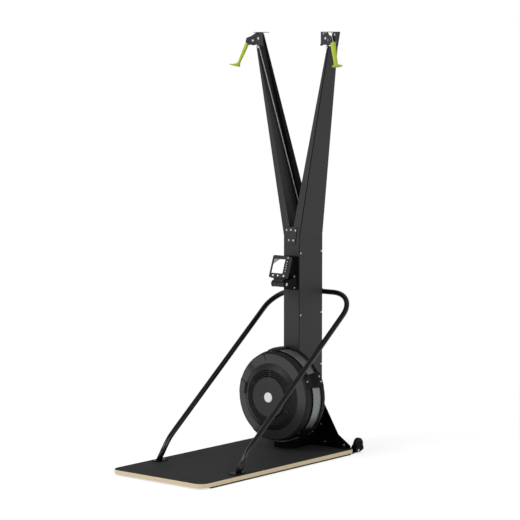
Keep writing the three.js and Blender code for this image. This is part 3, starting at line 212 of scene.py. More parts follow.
# %% Cord material
def braid(name, shade, strand):
    """Woven polyester with strands of the given width."""
    material, tree = new_material(name)
    parts = split(tree, where(tree, "UV"))
    along = maths(tree, "MULTIPLY", parts["Y"], math.tau / (strand * 2.8))
    around = maths(tree, "MULTIPLY", parts["X"], math.tau * 4)
    waves = [maths(tree, "SINE", maths(tree, slant, along, around)) for slant in ("ADD", "SUBTRACT")]
    weave = maths(tree, "MULTIPLY", *waves)
    height = remap(tree, weave, (-1, 1))
    # darker in the weave's hollows and lighter on its crowns: painted shade and painted highlight
    tint = blend(tree, height, linear(shade, 0.72), linear(shade, 1.2))
    bump = bumped(tree, height, 0.5, 0.3 * MM)
    principled(tree, {
        "Base Color": tint, "Roughness": 0.55, "Sheen Weight": 0.15, "Normal": bump})
    return material


braided_cord = braid("braided_polyester_cord", "#b9babd", 1.4 * MM)
print("made", braided_cord.name)


# %% [markdown]
# ## A tube that follows points
# A cord is a round tube along a list of points. Each ring of the tube is turned from the one before
# it by as little as possible, so the braid doesn't twist. A curve object with a round bevel would
# give the same shape, but a mesh lets the UV map count real metres.

# %% Tube helper
def tube(name, points, radius, sides, finish):
    """A closed round tube along the points, with u once round it and v in metres along it."""
    work = bmesh.new()
    layer = work.loops.layers.uv.new("UVMap")
    side = Vector((0, 1, 0))
    rings, travelled = [], [0.0]
    for i, point in enumerate(points):
        ahead = points[min(i + 1, len(points) - 1)] - points[max(i - 1, 0)]
        ahead.normalize()
        side = (side - ahead * side.dot(ahead)).normalized()
        up = ahead.cross(side)
        rings.append([work.verts.new(point + side * radius * math.cos(t) + up * radius * math.sin(t))
                      for t in (math.tau * k / sides for k in range(sides))])
        if i:
            travelled.append(travelled[-1] + (points[i] - points[i - 1]).length)
    for i in range(len(rings) - 1):
        for k in range(sides):
            face = work.faces.new((rings[i][k], rings[i][(k + 1) % sides],
                                   rings[i + 1][(k + 1) % sides], rings[i + 1][k]))
            face.smooth = True
            corners = ((k, i), (k + 1, i), (k + 1, i + 1), (k, i + 1))
            for loop, (u, v) in zip(face.loops, corners):
                loop[layer].uv = (u / sides, travelled[v])
    work.faces.new(reversed(rings[0]))
    work.faces.new(rings[-1])
    return piece_from(work, name, finish), travelled[-1]


# %% [markdown]
# ## The drive cords
# Each cord runs from its handle over the top pulley, down inside the arm, past a guide pulley in the
# fork and once round the drum on the fan's axle. It is always taut, because a spring winds the drum
# back. The photograph shows the cord inside the left arm and in the fork, and the frame holds the
# rest of its way, so the route below is worked out from the frame's own pulleys and drums.

# %% Drive cords
CORD_RADIUS = 2.75 * MM
RIM_HEIGHT = 4 * MM
DRUM_GROOVE = 20 * MM
DROP_PLACE = -20 * MM
GUIDE_REACH = 16 * MM
GUIDE_RISE = 3 * MM
pulley_turn = math.radians(57.4)


def arc(centre, radius, start, end, steps, first, second):
    """Points on a circle between two angles in degrees, in the plane of two directions."""
    angles = [math.radians(start + (end - start) * k / steps) for k in range(steps + 1)]
    return [centre + first * radius * math.cos(a) + second * radius * math.sin(a) for a in angles]


def middle(node):
    """The middle of a node's box."""
    low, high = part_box(node)
    return (low + high) / 2


up = Vector((0, 0, 1))
for side, sign in (("left", -1), ("right", 1)):
    outwards = Vector((sign * math.sin(pulley_turn), -math.cos(pulley_turn), 0))
    low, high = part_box(f"{side}_top_pulley")
    groove = (high.z - low.z) / 2 - RIM_HEIGHT
    over_pulley = arc(middle(f"{side}_top_pulley"), groove, 24, 167, 16, outwards, up)
    drum = middle(f"{side}_cord_drum")
    bend = Vector((DROP_PLACE, drum.y, middle(f"{side}_guide_pulley").z + GUIDE_RISE))
    arriving = (over_pulley[-1] - bend).normalized()
    turn_start, turn_end = bend + arriving * GUIDE_REACH, bend - up * GUIDE_REACH
    shares = [k / 8 for k in range(9)]
    past_guide = [turn_start * (1 - s) ** 2 + bend * 2 * s * (1 - s) + turn_end * s ** 2
                  for s in shares]
    round_drum = arc(drum, DRUM_GROOVE, 180, 315, 16, Vector((1, 0, 0)), up)
    route = over_pulley + past_guide + round_drum
    cord, cord_length = tube(f"{side}_braided_cord", route, CORD_RADIUS, 12, braided_cord)
    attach(cord, "stand")
    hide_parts(f"{side}_drive_cord")
    print(cord.name, "length", round(cord_length, 3), "m")


# %% [markdown]
# ## Powder coat
# Every steel part is powder coated: a dry paint baked to a tough satin skin. It flows a little as
# it melts, so its surface has a soft orange peel, with waves 2 to 3 mm apart. A wide noise makes
# the grey drift by a few percent, as dust and handling do, and a finer one drives the bump. The
# roughness drifts too, which breaks up a long highlight.

# %% Powder coat in its greys
def powder_coat(name, shade, roughness=0.42, depth=0.12, shine=0.3):
    """Satin baked paint with orange peel."""
    material, tree = new_material(name)
    place = where(tree)
    drift = noise(tree, place, 9, 3)
    tint = drifting(tree, drift, shade, 0.12)
    gloss = remap(tree, drift, after=(roughness - 0.06, roughness + 0.06))
    peel = noise(tree, place, 1 / (2.6 * MM), 2)
    bump = bumped(tree, peel, depth, 0.2 * MM)
    principled(tree, {
        "Base Color": tint, "Roughness": gloss,
        "Specular IOR Level": shine, "Normal": bump})
    return material


charcoal_coat = powder_coat("charcoal_powder_coat", "#2f2f31", shine=0.28)
# a near-black coat for the outside of the long bends: painted shade on the rounded corners
painted_shade_bend_coat = powder_coat("powder_coat_with_painted_shade_on_bends", "#060606", roughness=0.5, shine=0.06)
black_coat = powder_coat("black_powder_coat", "#050506", roughness=0.4, shine=0.08)
rail_coat = powder_coat("glossy_black_powder_coat", "#070708", roughness=0.2, shine=0.45)
print("coats", charcoal_coat.name, painted_shade_bend_coat.name, black_coat.name)


# %% [markdown]
# ## Moulded plastics and rubber
# ABS, nylon, soft-touch elastomer and rubber all come out of a steel mould, and the mould leaves its
# own skin on them: an even, fine grain that is etched or eroded into the steel. So one recipe
# serves them, with the grain's size and the gloss changed for each. Rubber also scatters more at its
# edges, where mould dust lies, so it gets a little sheen.

# %% Moulded finishes
def moulded(name, shade, roughness, grain, depth=0.12, sheen=0.0, shine=0.5):
    """Moulded plastic or rubber with an even grain of the given size in millimetres."""
    material, tree = new_material(name)
    place = where(tree)
    drift = noise(tree, place, 14, 2)
    tint = drifting(tree, drift, shade, 0.08)
    fine = noise(tree, place, 1 / (grain * MM), 2)
    gloss = remap(tree, fine, after=(roughness - 0.05, roughness + 0.05))
    bump = bumped(tree, fine, depth, 0.15 * MM)
    principled(tree, {
        "Base Color": tint, "Roughness": gloss,
        "Specular IOR Level": shine, "Sheen Weight": sheen, "Normal": bump})
    return material


cage_abs = moulded("moulded_abs_charcoal", "#262627", 0.27, 1.5, shine=0.6)
black_abs = moulded("moulded_abs_black", "#0b0b0c", 0.4, 1.5, shine=0.16)
grille_nylon = moulded("moulded_nylon_black", "#262627", 0.4, 1.2, shine=0.4)
green_tpe = moulded("soft_touch_tpe_green", "#a3ba33", 0.5, 1.0, depth=0.2, shine=0.3)
tyre_rubber = moulded("moulded_rubber_black", "#0f0f10", 0.6, 1.4, depth=0.2, sheen=0.05, shine=0.2)
white_abs = moulded("moulded_abs_white", "#ececec", 0.32, 1.5)
case_abs = moulded("moulded_abs_case_black", "#1a1a1b", 0.3, 1.2, shine=0.35)
cover_abs = moulded("moulded_abs_cover_black", "#1b1b1c", 0.46, 1.2, shine=0.2)
print("plastics made")

# %% [markdown]
# ## Birch plywood
# The platform is a board of birch plywood, 13 plies in 20.5 mm, clear-lacquered. On its edge every
# second ply shows end grain, which drinks the lacquer and is darker. On the flat the grain runs
# along the board in lines 2 to 5 mm apart. The bands follow the height, and the surface's own
# direction, which is fixed to the board, tells the edge from the flat.

# %% Plywood
birch_plywood, tree = new_material("lacquered_birch_plywood")
place = where(tree)
parts = split(tree, place)
ply = maths(tree, "MULTIPLY", parts["Z"], math.tau / (3.15 * MM))
ply_wave = maths(tree, "SINE", ply)
ply_share = remap(tree, ply_wave, (-0.5, 0.5))
end_grain = noise(tree, place, 1 / (1.8 * MM), 3)
edge_factor = maths(tree, "MULTIPLY", ply_share, end_grain)
edge_tint = blend(tree, edge_factor, linear("#dccbab"), linear("#a0875f"))
stretch = add(tree, "ShaderNodeMapping", {"Vector": place, "Scale": (1, 0.06, 1)})
grain = noise(tree, stretch.outputs["Vector"], 1 / (4 * MM), 5, 0.4)
flat_tint = blend(tree, grain, linear("#e2d3b0"), linear("#b89c6e"))
facing = add(tree, "ShaderNodeNewGeometry")
tilt = split(tree, facing.outputs["Normal"])
steep = maths(tree, "ABSOLUTE", tilt["Z"])
on_flat = maths(tree, "GREATER_THAN", steep, 0.7)
wood = blend(tree, on_flat, edge_tint, flat_tint)
bump = bumped(tree, end_grain, 0.25, 0.2 * MM)
principled(tree, {
    "Base Color": wood, "Roughness": 0.42, "Coat Weight": 0.25, "Coat Roughness": 0.3,
    "Normal": bump})
print("made", birch_plywood.name)

# %% [markdown]
# ## The grip sheet
# The board's top carries a thin rubber sheet with small raised pips, so that shoes don't slip. Pips
# of 3 mm on a 6 mm pitch are a pattern of cells with its scatter turned off, which makes a plain
# grid. Dust lies between them, so the hollows are a shade lighter and duller.

# %% Grip rubber
grip_rubber, tree = new_material("pipped_grip_rubber")
place = where(tree)
pips = add(tree, "ShaderNodeTexVoronoi", {
    "Vector": place, "Scale": 1 / (6 * MM), "Randomness": 0.0}, voronoi_dimensions="2D")
dome = remap(tree, pips.outputs["Distance"], (0.22, 0.32), (1, 0))
drift = noise(tree, place, 6, 4)
tint = blend(tree, drift, linear("#242425"), linear("#303031"))
dusty = blend(tree, dome, tint, linear("#29292a"))
bump = bumped(tree, dome, 0.35, 0.5 * MM)
principled(tree, {
    "Base Color": dusty, "Roughness": 0.72, "Specular IOR Level": 0.12, "Normal": bump})
print("made", grip_rubber.name)


# %% [markdown]
# ## Zinc-plated and bare steel
# Screws, axles and bearings are zinc plated: a bright, slightly blue metal with faint clouds where
# the bath worked unevenly. Metallic is 1, so the colour is the colour of its reflections.

# %% Plated steel
def plated(name, shade, roughness, cloud):
    """Zinc-plated steel with clouds of the given size in millimetres."""
    material, tree = new_material(name)
    place = where(tree)
    clouds = noise(tree, place, 1 / (cloud * MM), 3)
    tint = drifting(tree, clouds, shade, 0.15)
    gloss = remap(tree, clouds, after=(roughness - 0.07, roughness + 0.07))
    principled(tree, {"Base Color": tint, "Roughness": gloss, "Metallic": 1.0})
    return material


zinc_steel = plated("zinc_plated_steel", "#d4d6d9", 0.3, 3)
screen_steel = plated("galvanised_perforated_steel", "#a3a8a4", 0.45, 12)
print("metals made")

# %% [markdown]
# ## Finishes for the frame's own slots
# The frame's nodes carry plain slots. Each slot gets its finish here, so that even a piece that
# nobody looks at, deep in the column, has a real surface.

# %% Dress the frame's nodes
finish_of_slot = {
    "black_paint": charcoal_coat, "deep_black_paint": black_coat, "plywood": birch_plywood,
    "grip_surface": grip_rubber, "black_plastic": black_abs, "satin_plastic": cage_abs,
    "green_plastic": green_tpe, "black_rubber": tyre_rubber, "steel": zinc_steel,
    "screen_steel": screen_steel, "cord_cover": braided_cord, "white_plastic": white_abs,
    "lens": white_abs,
}
slot_of_node = {}
for name, part in frame["nodes"].items():
    slot_of_node[name] = part.material_slots[0].material.name.split(".")[0]
    for slot in part.material_slots:
        slot.material = finish_of_slot[slot.material.name.split(".")[0]]
print("slots", sorted(set(slot_of_node.values())))


# %% [markdown]
# ## Softened copies
# A CAD solid has knife edges and flat facets. The real pieces are cut, folded or moulded, so their
# edges catch the light. A copy of the node is merged, its coplanar triangles are joined, it is
# shaded smooth up to a given angle, and a Bevel modifier rounds its edges. The copy then stands for
# the node, which stays in the simulation for its contacts, hidden.

# %% Helpers for softened copies
def stand_for(piece, node):
    """Lets a piece ride on a node's body and stand for the node, which is hidden."""
    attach(piece, body_of_node[node])
    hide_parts(node)


MERGE_DISTANCE = 0.01 * MM
FLAT_ANGLE = math.radians(0.5)
FOLD_ANGLE = 0.5


def softened(node, width, finish=None, sharp=32, bends=None):
    """A copy of a node with rounded edges. bends picks edges for a wider rounding in a near-black coat
    of painted shade.
    """
    finish = finish or finish_of_slot[slot_of_node[node]]
    work = bmesh.new()
    work.from_mesh(frame["nodes"][node].data)
    bmesh.ops.remove_doubles(work, verts=work.verts, dist=MERGE_DISTANCE)
    bmesh.ops.dissolve_limit(work, angle_limit=FLAT_ANGLE, verts=work.verts, edges=work.edges)
    if bends:
        weight = work.edges.layers.float.new("bevel_weight_edge")
        for edge in work.edges:
            outer = edge.is_manifold and edge.calc_face_angle_signed() > FOLD_ANGLE
            edge[weight] = 1.0 if outer and bends(edge) else 0.0
    mesh = mesh_from(work, f"{node}_finished")
    mesh.materials.clear()
    mesh.materials.append(finish)
    mesh.shade_smooth()
    mesh.set_sharp_from_angle(angle=math.radians(sharp))
    piece = in_scene(mesh.name, mesh)
    rounding = piece.modifiers.new("rounding", "BEVEL")
    rounding.width = width
    rounding.segments = 3 if bends else 2
    rounding.harden_normals = True
    if bends:
        # the rounding of the picked bends gets the near-black coat: painted shade
        mesh.materials.append(painted_shade_bend_coat)
        rounding.limit_method = "WEIGHT"
        rounding.material = 1
    else:
        rounding.limit_method = "ANGLE"
        rounding.angle_limit = math.radians(sharp)
    stand_for(piece, node)
    return piece


# %% [markdown]
# ## Painted shade inside the arms
# The camera looks into the left arm. Its inner side is dark grey in front of the cord and almost
# black behind it. What makes that edge can't be seen; the near-black behind it is painted shade, a
# change of paint here. The cord runs straight from the guide pulley to the top pulley, and its line
# in the side plane divides the greys.

# %% Inner coat with painted shade
CORD_LEAN = -0.1605
GUIDE_DEPTH, GUIDE_HEIGHT = 163 * MM, 1088 * MM
arm_inside_with_painted_shade = powder_coat("charcoal_powder_coat_inside_the_arm_with_painted_shade", "#303031", shine=0.25)
tree = arm_inside_with_painted_shade.node_tree
skin = next(node for node in tree.nodes if node.type == "BSDF_PRINCIPLED")
painted = skin.inputs["Base Color"].links[0].from_socket
parts = split(tree, where(tree))
cord_depth = column_front + GUIDE_DEPTH - CORD_LEAN * GUIDE_HEIGHT
cord_line = maths(tree, "MULTIPLY_ADD", parts["Z"], CORD_LEAN, cord_depth)
# faces behind the cord's line turn near-black: painted shade in the deep part of the channel
behind = maths(tree, "GREATER_THAN", parts["Y"], cord_line)
tree.links.new(blend(tree, behind, painted, linear("#030303")), skin.inputs["Base Color"])
print("made", arm_inside_with_painted_shade.name)

# %% [markdown]
# ## Column and arms
# The column is folded from 3 mm sheet, and so are the arms. A sheet can't be folded to a knife edge:
# the outside of the bend is 7 to 8 mm wide, and on the column's corner it shows as a dark line. That
# line is painted shade here: only the long outer corners are rounded, and the bevel gives its new
# faces a near-black coat. A face that looks inwards gets the inner coat, with its painted shade.

# %% Fold the column and the arms
BEND_WIDTH = 7.5 * MM
LONG_EDGE = 30 * MM
NEAR = 1.2 * MM
MOSTLY = 0.5
column_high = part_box("column")[1]
arm_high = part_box("right_arm")[1]
arm_slope = (arm_high.x - column_high.x) / (arm_high.z - column_high.z)


def outer_side(height):
    """How far the outer side of column and arm stands from the middle at a height."""
    return column_high.x + max(height - column_high.z, 0) * arm_slope


def on_outer_side(edge):
    """True for a long upright edge on the outer side of the column or of an arm."""
    ends = [v.co for v in edge.verts]
    return abs(ends[1].z - ends[0].z) >= LONG_EDGE and all(
        abs(abs(p.x) - outer_side(p.z)) < NEAR for p in ends)


for node, inwards in (("column", 0), ("left_arm", 1), ("right_arm", -1)):
    piece = softened(node, BEND_WIDTH, bends=on_outer_side)
    if inwards:
        piece.data.materials.append(arm_inside_with_painted_shade)
        for face in piece.data.polygons:
            if face.normal.x * inwards > MOSTLY:
                face.material_index = 2
    print(piece.name, len(piece.data.polygons), "faces before rounding")

# %% [markdown]
# ## The other pieces of plate, plastic and rubber
# Laser-cut plate keeps an edge of about half a millimetre, a moulded housing one of a millimetre,
# and rubber a wider one. The board's long edges are sanded round by hand. The photograph shows the
# rail's clamp and the wheels smaller than the frame has them, so their copies are shrunk in place.

# %% Round the other pieces
def pairs(*names):
    """The left and the right node of each name."""
    return [f"{side}_{name}" for name in names for side in ("left", "right")]


roundings = {
    0.6: ["column_foot", "junction_cover", "rear_beam", "rail_clamp",
          *pairs("wheel_bracket", "pulley_bracket"), "monitor_bracket", *pairs("runner"), "grip_sheet",
          *pairs("top_pulley", "guide_pulley", "cord_drum")],
    0.9: ["fan_front_cover", "damper_ring", "fan_rear_housing", "hub_cap",
          *(f"cage_clip_{number}" for number in range(1, 6)),
          *(f"{key}_button" for key in ("left", "middle", "right"))],
    1.4: ["monitor_front", "monitor_back", *pairs("transport_wheel"), "platform_board"],
}
special_finish = {
    "junction_cover": charcoal_coat, "monitor_front": case_abs, "monitor_back": case_abs,
    "fan_front_cover": cover_abs,
}
shrinkage = {
    "rail_clamp": (0.6, 1, 0.7, 1), **dict.fromkeys(pairs("transport_wheel"), (1, 0.91, 0.91, 1)),
}
for width, nodes in roundings.items():
    for node in nodes:
        piece = softened(node, width * MM, special_finish.get(node))
        if node in shrinkage:
            to_middle = Matrix.Translation(middle(node))
            piece.data.transform(to_middle @ Matrix.Diagonal(shrinkage[node]) @ to_middle.inverted())
softened("intake_grille", 0.4 * MM, grille_nylon, sharp=40)
print("rounded", sum(len(nodes) for nodes in roundings.values()) + 1, "pieces")

# %% [markdown]
# ## The support rail
# One steel tube, 27 mm across, starts flat on the platform at the left, rises behind the column and
# comes down again on the right. It is bent cold on round formers, so its bends are true arcs. The
# same corners and radii as in the frame give its middle line, and the tube helper sweeps it with
# 28 sides and a ring at every few degrees. Two foot plates are cut from 4 mm sheet and carry the
# duller black coat.


# %% Rail tube and foot plates
def raised(work, face, shift):
    """Extrudes a face by a vector. Gives back the points of its far end."""
    extruded = bmesh.ops.extrude_face_region(work, geom=[face])
    far = [v for v in extruded["geom"] if isinstance(v, bmesh.types.BMVert)]
    bmesh.ops.translate(work, vec=shift, verts=far)
    return far


def bent(corners, radii, step):
    """Points along straight runs joined by arcs of the given radii, a few degrees apart."""
    points = [corners[0]]
    for corner, before, after, radius in zip(corners[1:], corners, corners[2:], radii):
        back, on = (before - corner).normalized(), (after - corner).normalized()
        half = back.angle(on) / 2
        centre = corner + (back + on).normalized() * (radius / math.sin(half))
        start = corner + back * (radius / math.tan(half)) - centre
        end = corner + on * (radius / math.tan(half)) - centre
        steps = max(2, round(math.degrees(start.angle(end)) / step))
        spin = start.cross(end).normalized()
        points += [centre + Matrix.Rotation(start.angle(end) * k / steps, 3, spin) @ start
                   for k in range(steps + 1)]
    return points + [corners[-1]]


RAIL_RADIUS = 13.5 * MM
RAIL_SLOPE, FOOT_SLOPE = 0.79, 1.29
TOP_BEND, FOOT_BEND = 0.155, 0.3
HALF_SPAN = 261 * MM
KNEE_HEIGHT = 134 * MM
SEAT_GAP = 0.3 * MM
PLATE_THICKNESS = 4 * MM
PLATE_INNER, PLATE_OUTER, PLATE_HALF = 31 * MM, 15.5 * MM, 42 * MM
PLATE_CORNER = 10 * MM
rail_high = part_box("support_rail")[1]
rail_back, rail_top = rail_high.y - RAIL_RADIUS, rail_high.z - RAIL_RADIUS
floor_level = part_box("grip_sheet")[1].z + SEAT_GAP
knee_y = rail_back - (rail_top - KNEE_HEIGHT) / RAIL_SLOPE
foot_y = knee_y - (KNEE_HEIGHT - floor_level - PLATE_THICKNESS) / FOOT_SLOPE
right_half = [Vector((HALF_SPAN, rail_back, rail_top)), Vector((HALF_SPAN, knee_y, KNEE_HEIGHT)),
              Vector((HALF_SPAN, foot_y, floor_level + PLATE_THICKNESS / 2))]
left_half = [Vector((-p.x, p.y, p.z)) for p in reversed(right_half)]
rail_line = bent(left_half + right_half, [FOOT_BEND, TOP_BEND, TOP_BEND, FOOT_BEND], 4)
rail, rail_length = tube("support_rail_tube", rail_line, RAIL_RADIUS, 28, rail_coat)
work = bmesh.new()
work.from_mesh(rail.data)
cut = bmesh.ops.bisect_plane(
    work, geom=work.verts[:] + work.edges[:] + work.faces[:], plane_co=(0, 0, floor_level),
    plane_no=(0, 0, -1), clear_outer=True)
bmesh.ops.holes_fill(work, edges=[e for e in cut["geom_cut"] if isinstance(e, bmesh.types.BMEdge)])
for sign in (-1, 1):
    inner, outer = sign * (HALF_SPAN - PLATE_INNER), sign * (HALF_SPAN + PLATE_OUTER)
    near, far = foot_y - PLATE_HALF, foot_y + PLATE_HALF
    corners = [(inner, near), (outer, near), (outer, far), (inner, far)]
    plate = work.faces.new([work.verts.new((x, y, floor_level)) for x, y in corners])
    lifted = raised(work, plate, (0, 0, PLATE_THICKNESS))
    uprights = [edge for vert in lifted for edge in vert.link_edges
                if abs(edge.verts[0].co.z - edge.verts[1].co.z) > PLATE_THICKNESS * 0.75]
    bmesh.ops.bevel(work, geom=list(set(uprights)), offset=PLATE_CORNER, segments=4, affect="EDGES")
bmesh.ops.recalc_face_normals(work, faces=work.faces)
work.to_mesh(rail.data)
work.free()
rail.data.materials.append(black_coat)
for face in rail.data.polygons:
    if face.center.z < floor_level + PLATE_THICKNESS + 0.5 * MM:
        face.material_index = 1
stand_for(rail, "support_rail")
print("rail length", round(rail_length, 3), "m")

# %% [markdown]
# ## The pull handles
# Each handle is a soft green grip, oval in section, that narrows towards its lower end and opens
# into a thin slanting flare that stops the hand. It is moulded in one shot over the cord's knot. A
# few rings of points give its form, and a Subdivision Surface modifier rounds it. The frame's own
# handle hangs from the same cord end, so the new one covers the cord's end as it does.

# %% Handle surface
RING_SIDES = 16
HANDLE_REACH, HANDLE_DROP = 30 * MM, 12.4 * MM
handle_tilt = math.radians(23.5)
flare_lean = math.tan(math.radians(11))
# place along the handle, middle's offset, half depth, half width (all in millimetres) and lean
grip_rings = [
    (-6, 0, 4, 6, 0), (-5.2, 0, 7.2, 9.8, 0), (0, 0, 9.4, 12.2, 0), (10, 0, 10.4, 13.4, 0),
    (30, 0, 10.4, 13.4, 0), (52, 0, 9.8, 12.8, 0), (74, 0, 8.6, 11.8, 0), (95, 0, 7.4, 10.6, 0),
    (111, 0, 7.5, 10.5, 0), (117, 1, 9.4, 12, 0.4), (122, 5, 15.5, 16, 1), (125.6, 11, 24, 23.5, 1),
    (127.2, 15, 28.4, 27, 1), (128.4, 15, 28.8, 27.4, 1), (130.8, 15, 28.6, 27.2, 1),
    (132, 15, 26.5, 25, 1), (132.4, 15, 17, 17, 1),
]
outwards = Vector((math.sin(pulley_turn), -math.cos(pulley_turn), 0))
sideways = Vector((math.cos(pulley_turn), math.sin(pulley_turn), 0))
axis = outwards * math.sin(handle_tilt) - up * math.cos(handle_tilt)
front = outwards * math.cos(handle_tilt) + up * math.sin(handle_tilt)
top = middle("right_top_pulley") + outwards * HANDLE_REACH - up * HANDLE_DROP
for side, sign in (("left", -1), ("right", 1)):
    work = bmesh.new()
    rings = []
    for along, offset, depth, wide, lean in grip_rings:
        ring = []
        for k in range(RING_SIDES):
            angle = math.tau * k / RING_SIDES
            reach = offset + depth * math.cos(angle)
            point = top + (axis * (along + reach * flare_lean * lean) + front * reach
                           + sideways * wide * math.sin(angle)) * MM
            ring.append(work.verts.new((point.x * sign, point.y, point.z)))
        rings.append(ring)
    for near, far in zip(rings, rings[1:]):
        for k in range(RING_SIDES):
            work.faces.new((near[k], near[(k + 1) % RING_SIDES], far[(k + 1) % RING_SIDES], far[k]))
    work.faces.new(rings[0])
    work.faces.new(rings[-1])
    for face in work.faces:
        face.smooth = True
    handle = piece_from(work, f"{side}_pull_handle", green_tpe)
    smoothing = handle.modifiers.new("smoothing", "SUBSURF")
    smoothing.levels = smoothing.render_levels = 2
    stand_for(handle, f"{side}_handle")
    print(handle.name, "rides on", body_of_node[f"{side}_handle"])


# %% [markdown]
# ## Growing a piece from a node tree
# Screws and perforations repeat many times, which is work for Geometry Nodes: the tree is written
# once, its sizes are named inputs, and points or a grid say where it grows. The result is turned
# into a plain mesh at once, so nothing live is left on the piece.

# %% Helpers that write and run a tree
def new_tree(name, sizes):
    """A node tree with a geometry input, named sizes, a finish and a geometry output."""
    tree = bpy.data.node_groups.new(name, "GeometryNodeTree")
    for label, way, kind in (
            ("Geometry", "INPUT", "Geometry"), *((size, "INPUT", "Float") for size in sizes),
            ("Finish", "INPUT", "Material"), ("Geometry", "OUTPUT", "Geometry")):
        tree.interface.new_socket(label, in_out=way, socket_type=f"NodeSocket{kind}")
    return tree, add(tree, "NodeGroupInput").outputs


def end_tree(tree, geometry, finish):
    """Makes what grew real, gives it its finish and ends the tree."""
    real = add(tree, "GeometryNodeRealizeInstances", {"Geometry": geometry})
    coated = add(tree, "GeometryNodeSetMaterial", {
        "Geometry": real.outputs["Geometry"], "Material": finish})
    add(tree, "NodeGroupOutput", {0: coated.outputs["Geometry"]})


def grown(name, mesh, tree, values, body):
    """Runs a tree on a mesh and keeps the result as one plain piece that rides on a body."""
    seed = in_scene(f"{name}_seed", mesh)
    growth = seed.modifiers.new("growth", "NODES")
    growth.node_group = tree
    for item in tree.interface.items_tree:
        if item.in_out == "INPUT" and item.name in values:
            growth[item.identifier] = values[item.name]
    graph = bpy.context.evaluated_depsgraph_get()
    result = bpy.data.meshes.new_from_object(seed.evaluated_get(graph), depsgraph=graph)
    bpy.data.objects.remove(seed)
    piece = in_scene(name, result)
    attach(piece, body)
    print(name, len(result.polygons), "faces")
    return piece


# %% [markdown]
# ## A tree for screw heads
# The machine is put together with button-head screws on thin washers. A head is a disc whose top is
# domed and dips in the middle, where the key goes in. The disc comes from a cylinder with rings in
# its cap, so moving the rings by their distance from the middle makes dome and dip in one step. Each
# head turns to the direction that its point carries.

# %% Screw-head tree
DOME_SHARE, DIP_SHARE = 0.6, 0.4
tree, given = new_tree("button_head_screws", ["Head Radius", "Head Height", "Dip Depth"])
disc = socket(tree, "GeometryNodeMeshCylinder", {
    "Vertices": 12, "Side Segments": 1, "Fill Segments": 4, "Radius": given["Head Radius"],
    "Depth": given["Head Height"]}, fill_type="TRIANGLE_FAN")
parts = split(tree, socket(tree, "GeometryNodeInputPosition"))
flat = socket(tree, "ShaderNodeCombineXYZ", {"X": parts["X"], "Y": parts["Y"]})
reach = add(tree, "ShaderNodeVectorMath", {0: flat}, operation="LENGTH")
share = maths(tree, "DIVIDE", reach.outputs["Value"], given["Head Radius"])
fall = maths(tree, "MULTIPLY", maths(tree, "POWER", share, 2), given["Head Height"])
dome = maths(tree, "MULTIPLY", fall, -DOME_SHARE)
dip = maths(tree, "MULTIPLY", maths(tree, "LESS_THAN", share, DIP_SHARE), given["Dip Depth"])
change = maths(tree, "SUBTRACT", dome, dip)
offset = socket(tree, "ShaderNodeCombineXYZ", {"Z": change})
on_top = maths(tree, "GREATER_THAN", parts["Z"], 0.0)
head = socket(tree, "GeometryNodeSetPosition", {
    "Geometry": disc, "Selection": on_top, "Offset": offset})
washer_radius = maths(tree, "MULTIPLY", given["Head Radius"], 1.3)
washer_height = maths(tree, "MULTIPLY", given["Head Height"], 0.3)
washer = socket(tree, "GeometryNodeMeshCylinder", {
    "Vertices": 16, "Radius": washer_radius, "Depth": washer_height}, fill_type="TRIANGLE_FAN")
both = add(tree, "GeometryNodeJoinGeometry")
tree.links.new(head, both.inputs["Geometry"])
tree.links.new(washer, both.inputs["Geometry"])
direction = socket(tree, "GeometryNodeInputNamedAttribute", {"Name": "facing"},
                   data_type="FLOAT_VECTOR")
turned = socket(tree, "FunctionNodeAlignRotationToVector", {"Vector": direction}, axis="Z")
placed = socket(tree, "GeometryNodeInstanceOnPoints", {
    "Points": given["Geometry"], "Instance": both.outputs["Geometry"], "Rotation": turned})
end_tree(tree, placed, given["Finish"])
screw_tree = tree


def screws(name, places, radius, height, body="stand", finish=zinc_steel, dip=0.4):
    """Screw heads at places, each given as a point and the direction that it faces."""
    mesh = bpy.data.meshes.new(name)
    mesh.from_pydata([tuple(point) for point, _ in places], [], [])
    facing = mesh.attributes.new("facing", "FLOAT_VECTOR", "POINT")
    for i, (_, direction) in enumerate(places):
        facing.data[i].vector = direction
    piece = grown(name, mesh, screw_tree, {
        "Head Radius": radius * MM, "Head Height": height * MM, "Dip Depth": height * dip * MM,
        "Finish": finish}, body)
    return piece


# %% [markdown]
# ## Screws on the steel
# Their places come from the photograph, taken back through the camera onto the face that each one
# sits on, and mirrored to the side that the photograph doesn't show.

# %% Place the screws
def at(x, y, z):
    """A point given in millimetres from the middle of the column's front face and the floor."""
    return Vector((x * MM, column_front + y * MM, z * MM))


forwards, rightwards = Vector((0, -1, 0)), Vector((1, 0, 0))
cover_face = (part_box("junction_cover")[0].y - column_front) / MM
cover_spots = [(-29, 1153), (0, 1155), (29, 1153), (-14.5, 1101), (14.5, 1101)]
screws("cover_screws", [(at(x, cover_face, z), forwards) for x, z in cover_spots], 3.8, 3)
plate_face = cover_face - 1
plate_spots = [(at(x, plate_face, z), forwards) for x in (-24, 24) for z in (916, 860)]
screws("monitor_plate_screws", plate_spots, 4, 3)
side_spots = [(at(sign * 51.5, y, z), rightwards * sign)
              for sign in (-1, 1) for y in (12.5, 182) for z in (1036, 716, 445)]
screws("column_side_screws", side_spots, 3.8, 3)
# the wings' face is 5 mm in front of the board's rear edge
wing_face = (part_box("platform_board")[1].y - column_front) / MM - 5
wing_spots = [(sign * x, z)
              for sign in (-1, 1) for x, z in ((99, 216), (92, 139), (116, 49), (242, 45))]
screws("wing_screws", [(at(x, wing_face, z), forwards) for x, z in wing_spots], 5.2, 3.6)
low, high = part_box("right_wheel_bracket")
wheel_spots = [(Vector((sign * high.x, low.y + 20 * MM, 14 * MM)), rightwards * sign)
               for sign in (-1, 1)]
screws("wheel_bracket_screws", wheel_spots, 5, 3.4)

# %% [markdown]
# ## Screws on the pulley brackets
# The front flange lies on the arm's front face and has one screw. The rear flange lies on the arm's
# sloping outer face, so its two screws face along that slope's own direction. One more holds the
# arm's front cover strip, below the bracket.

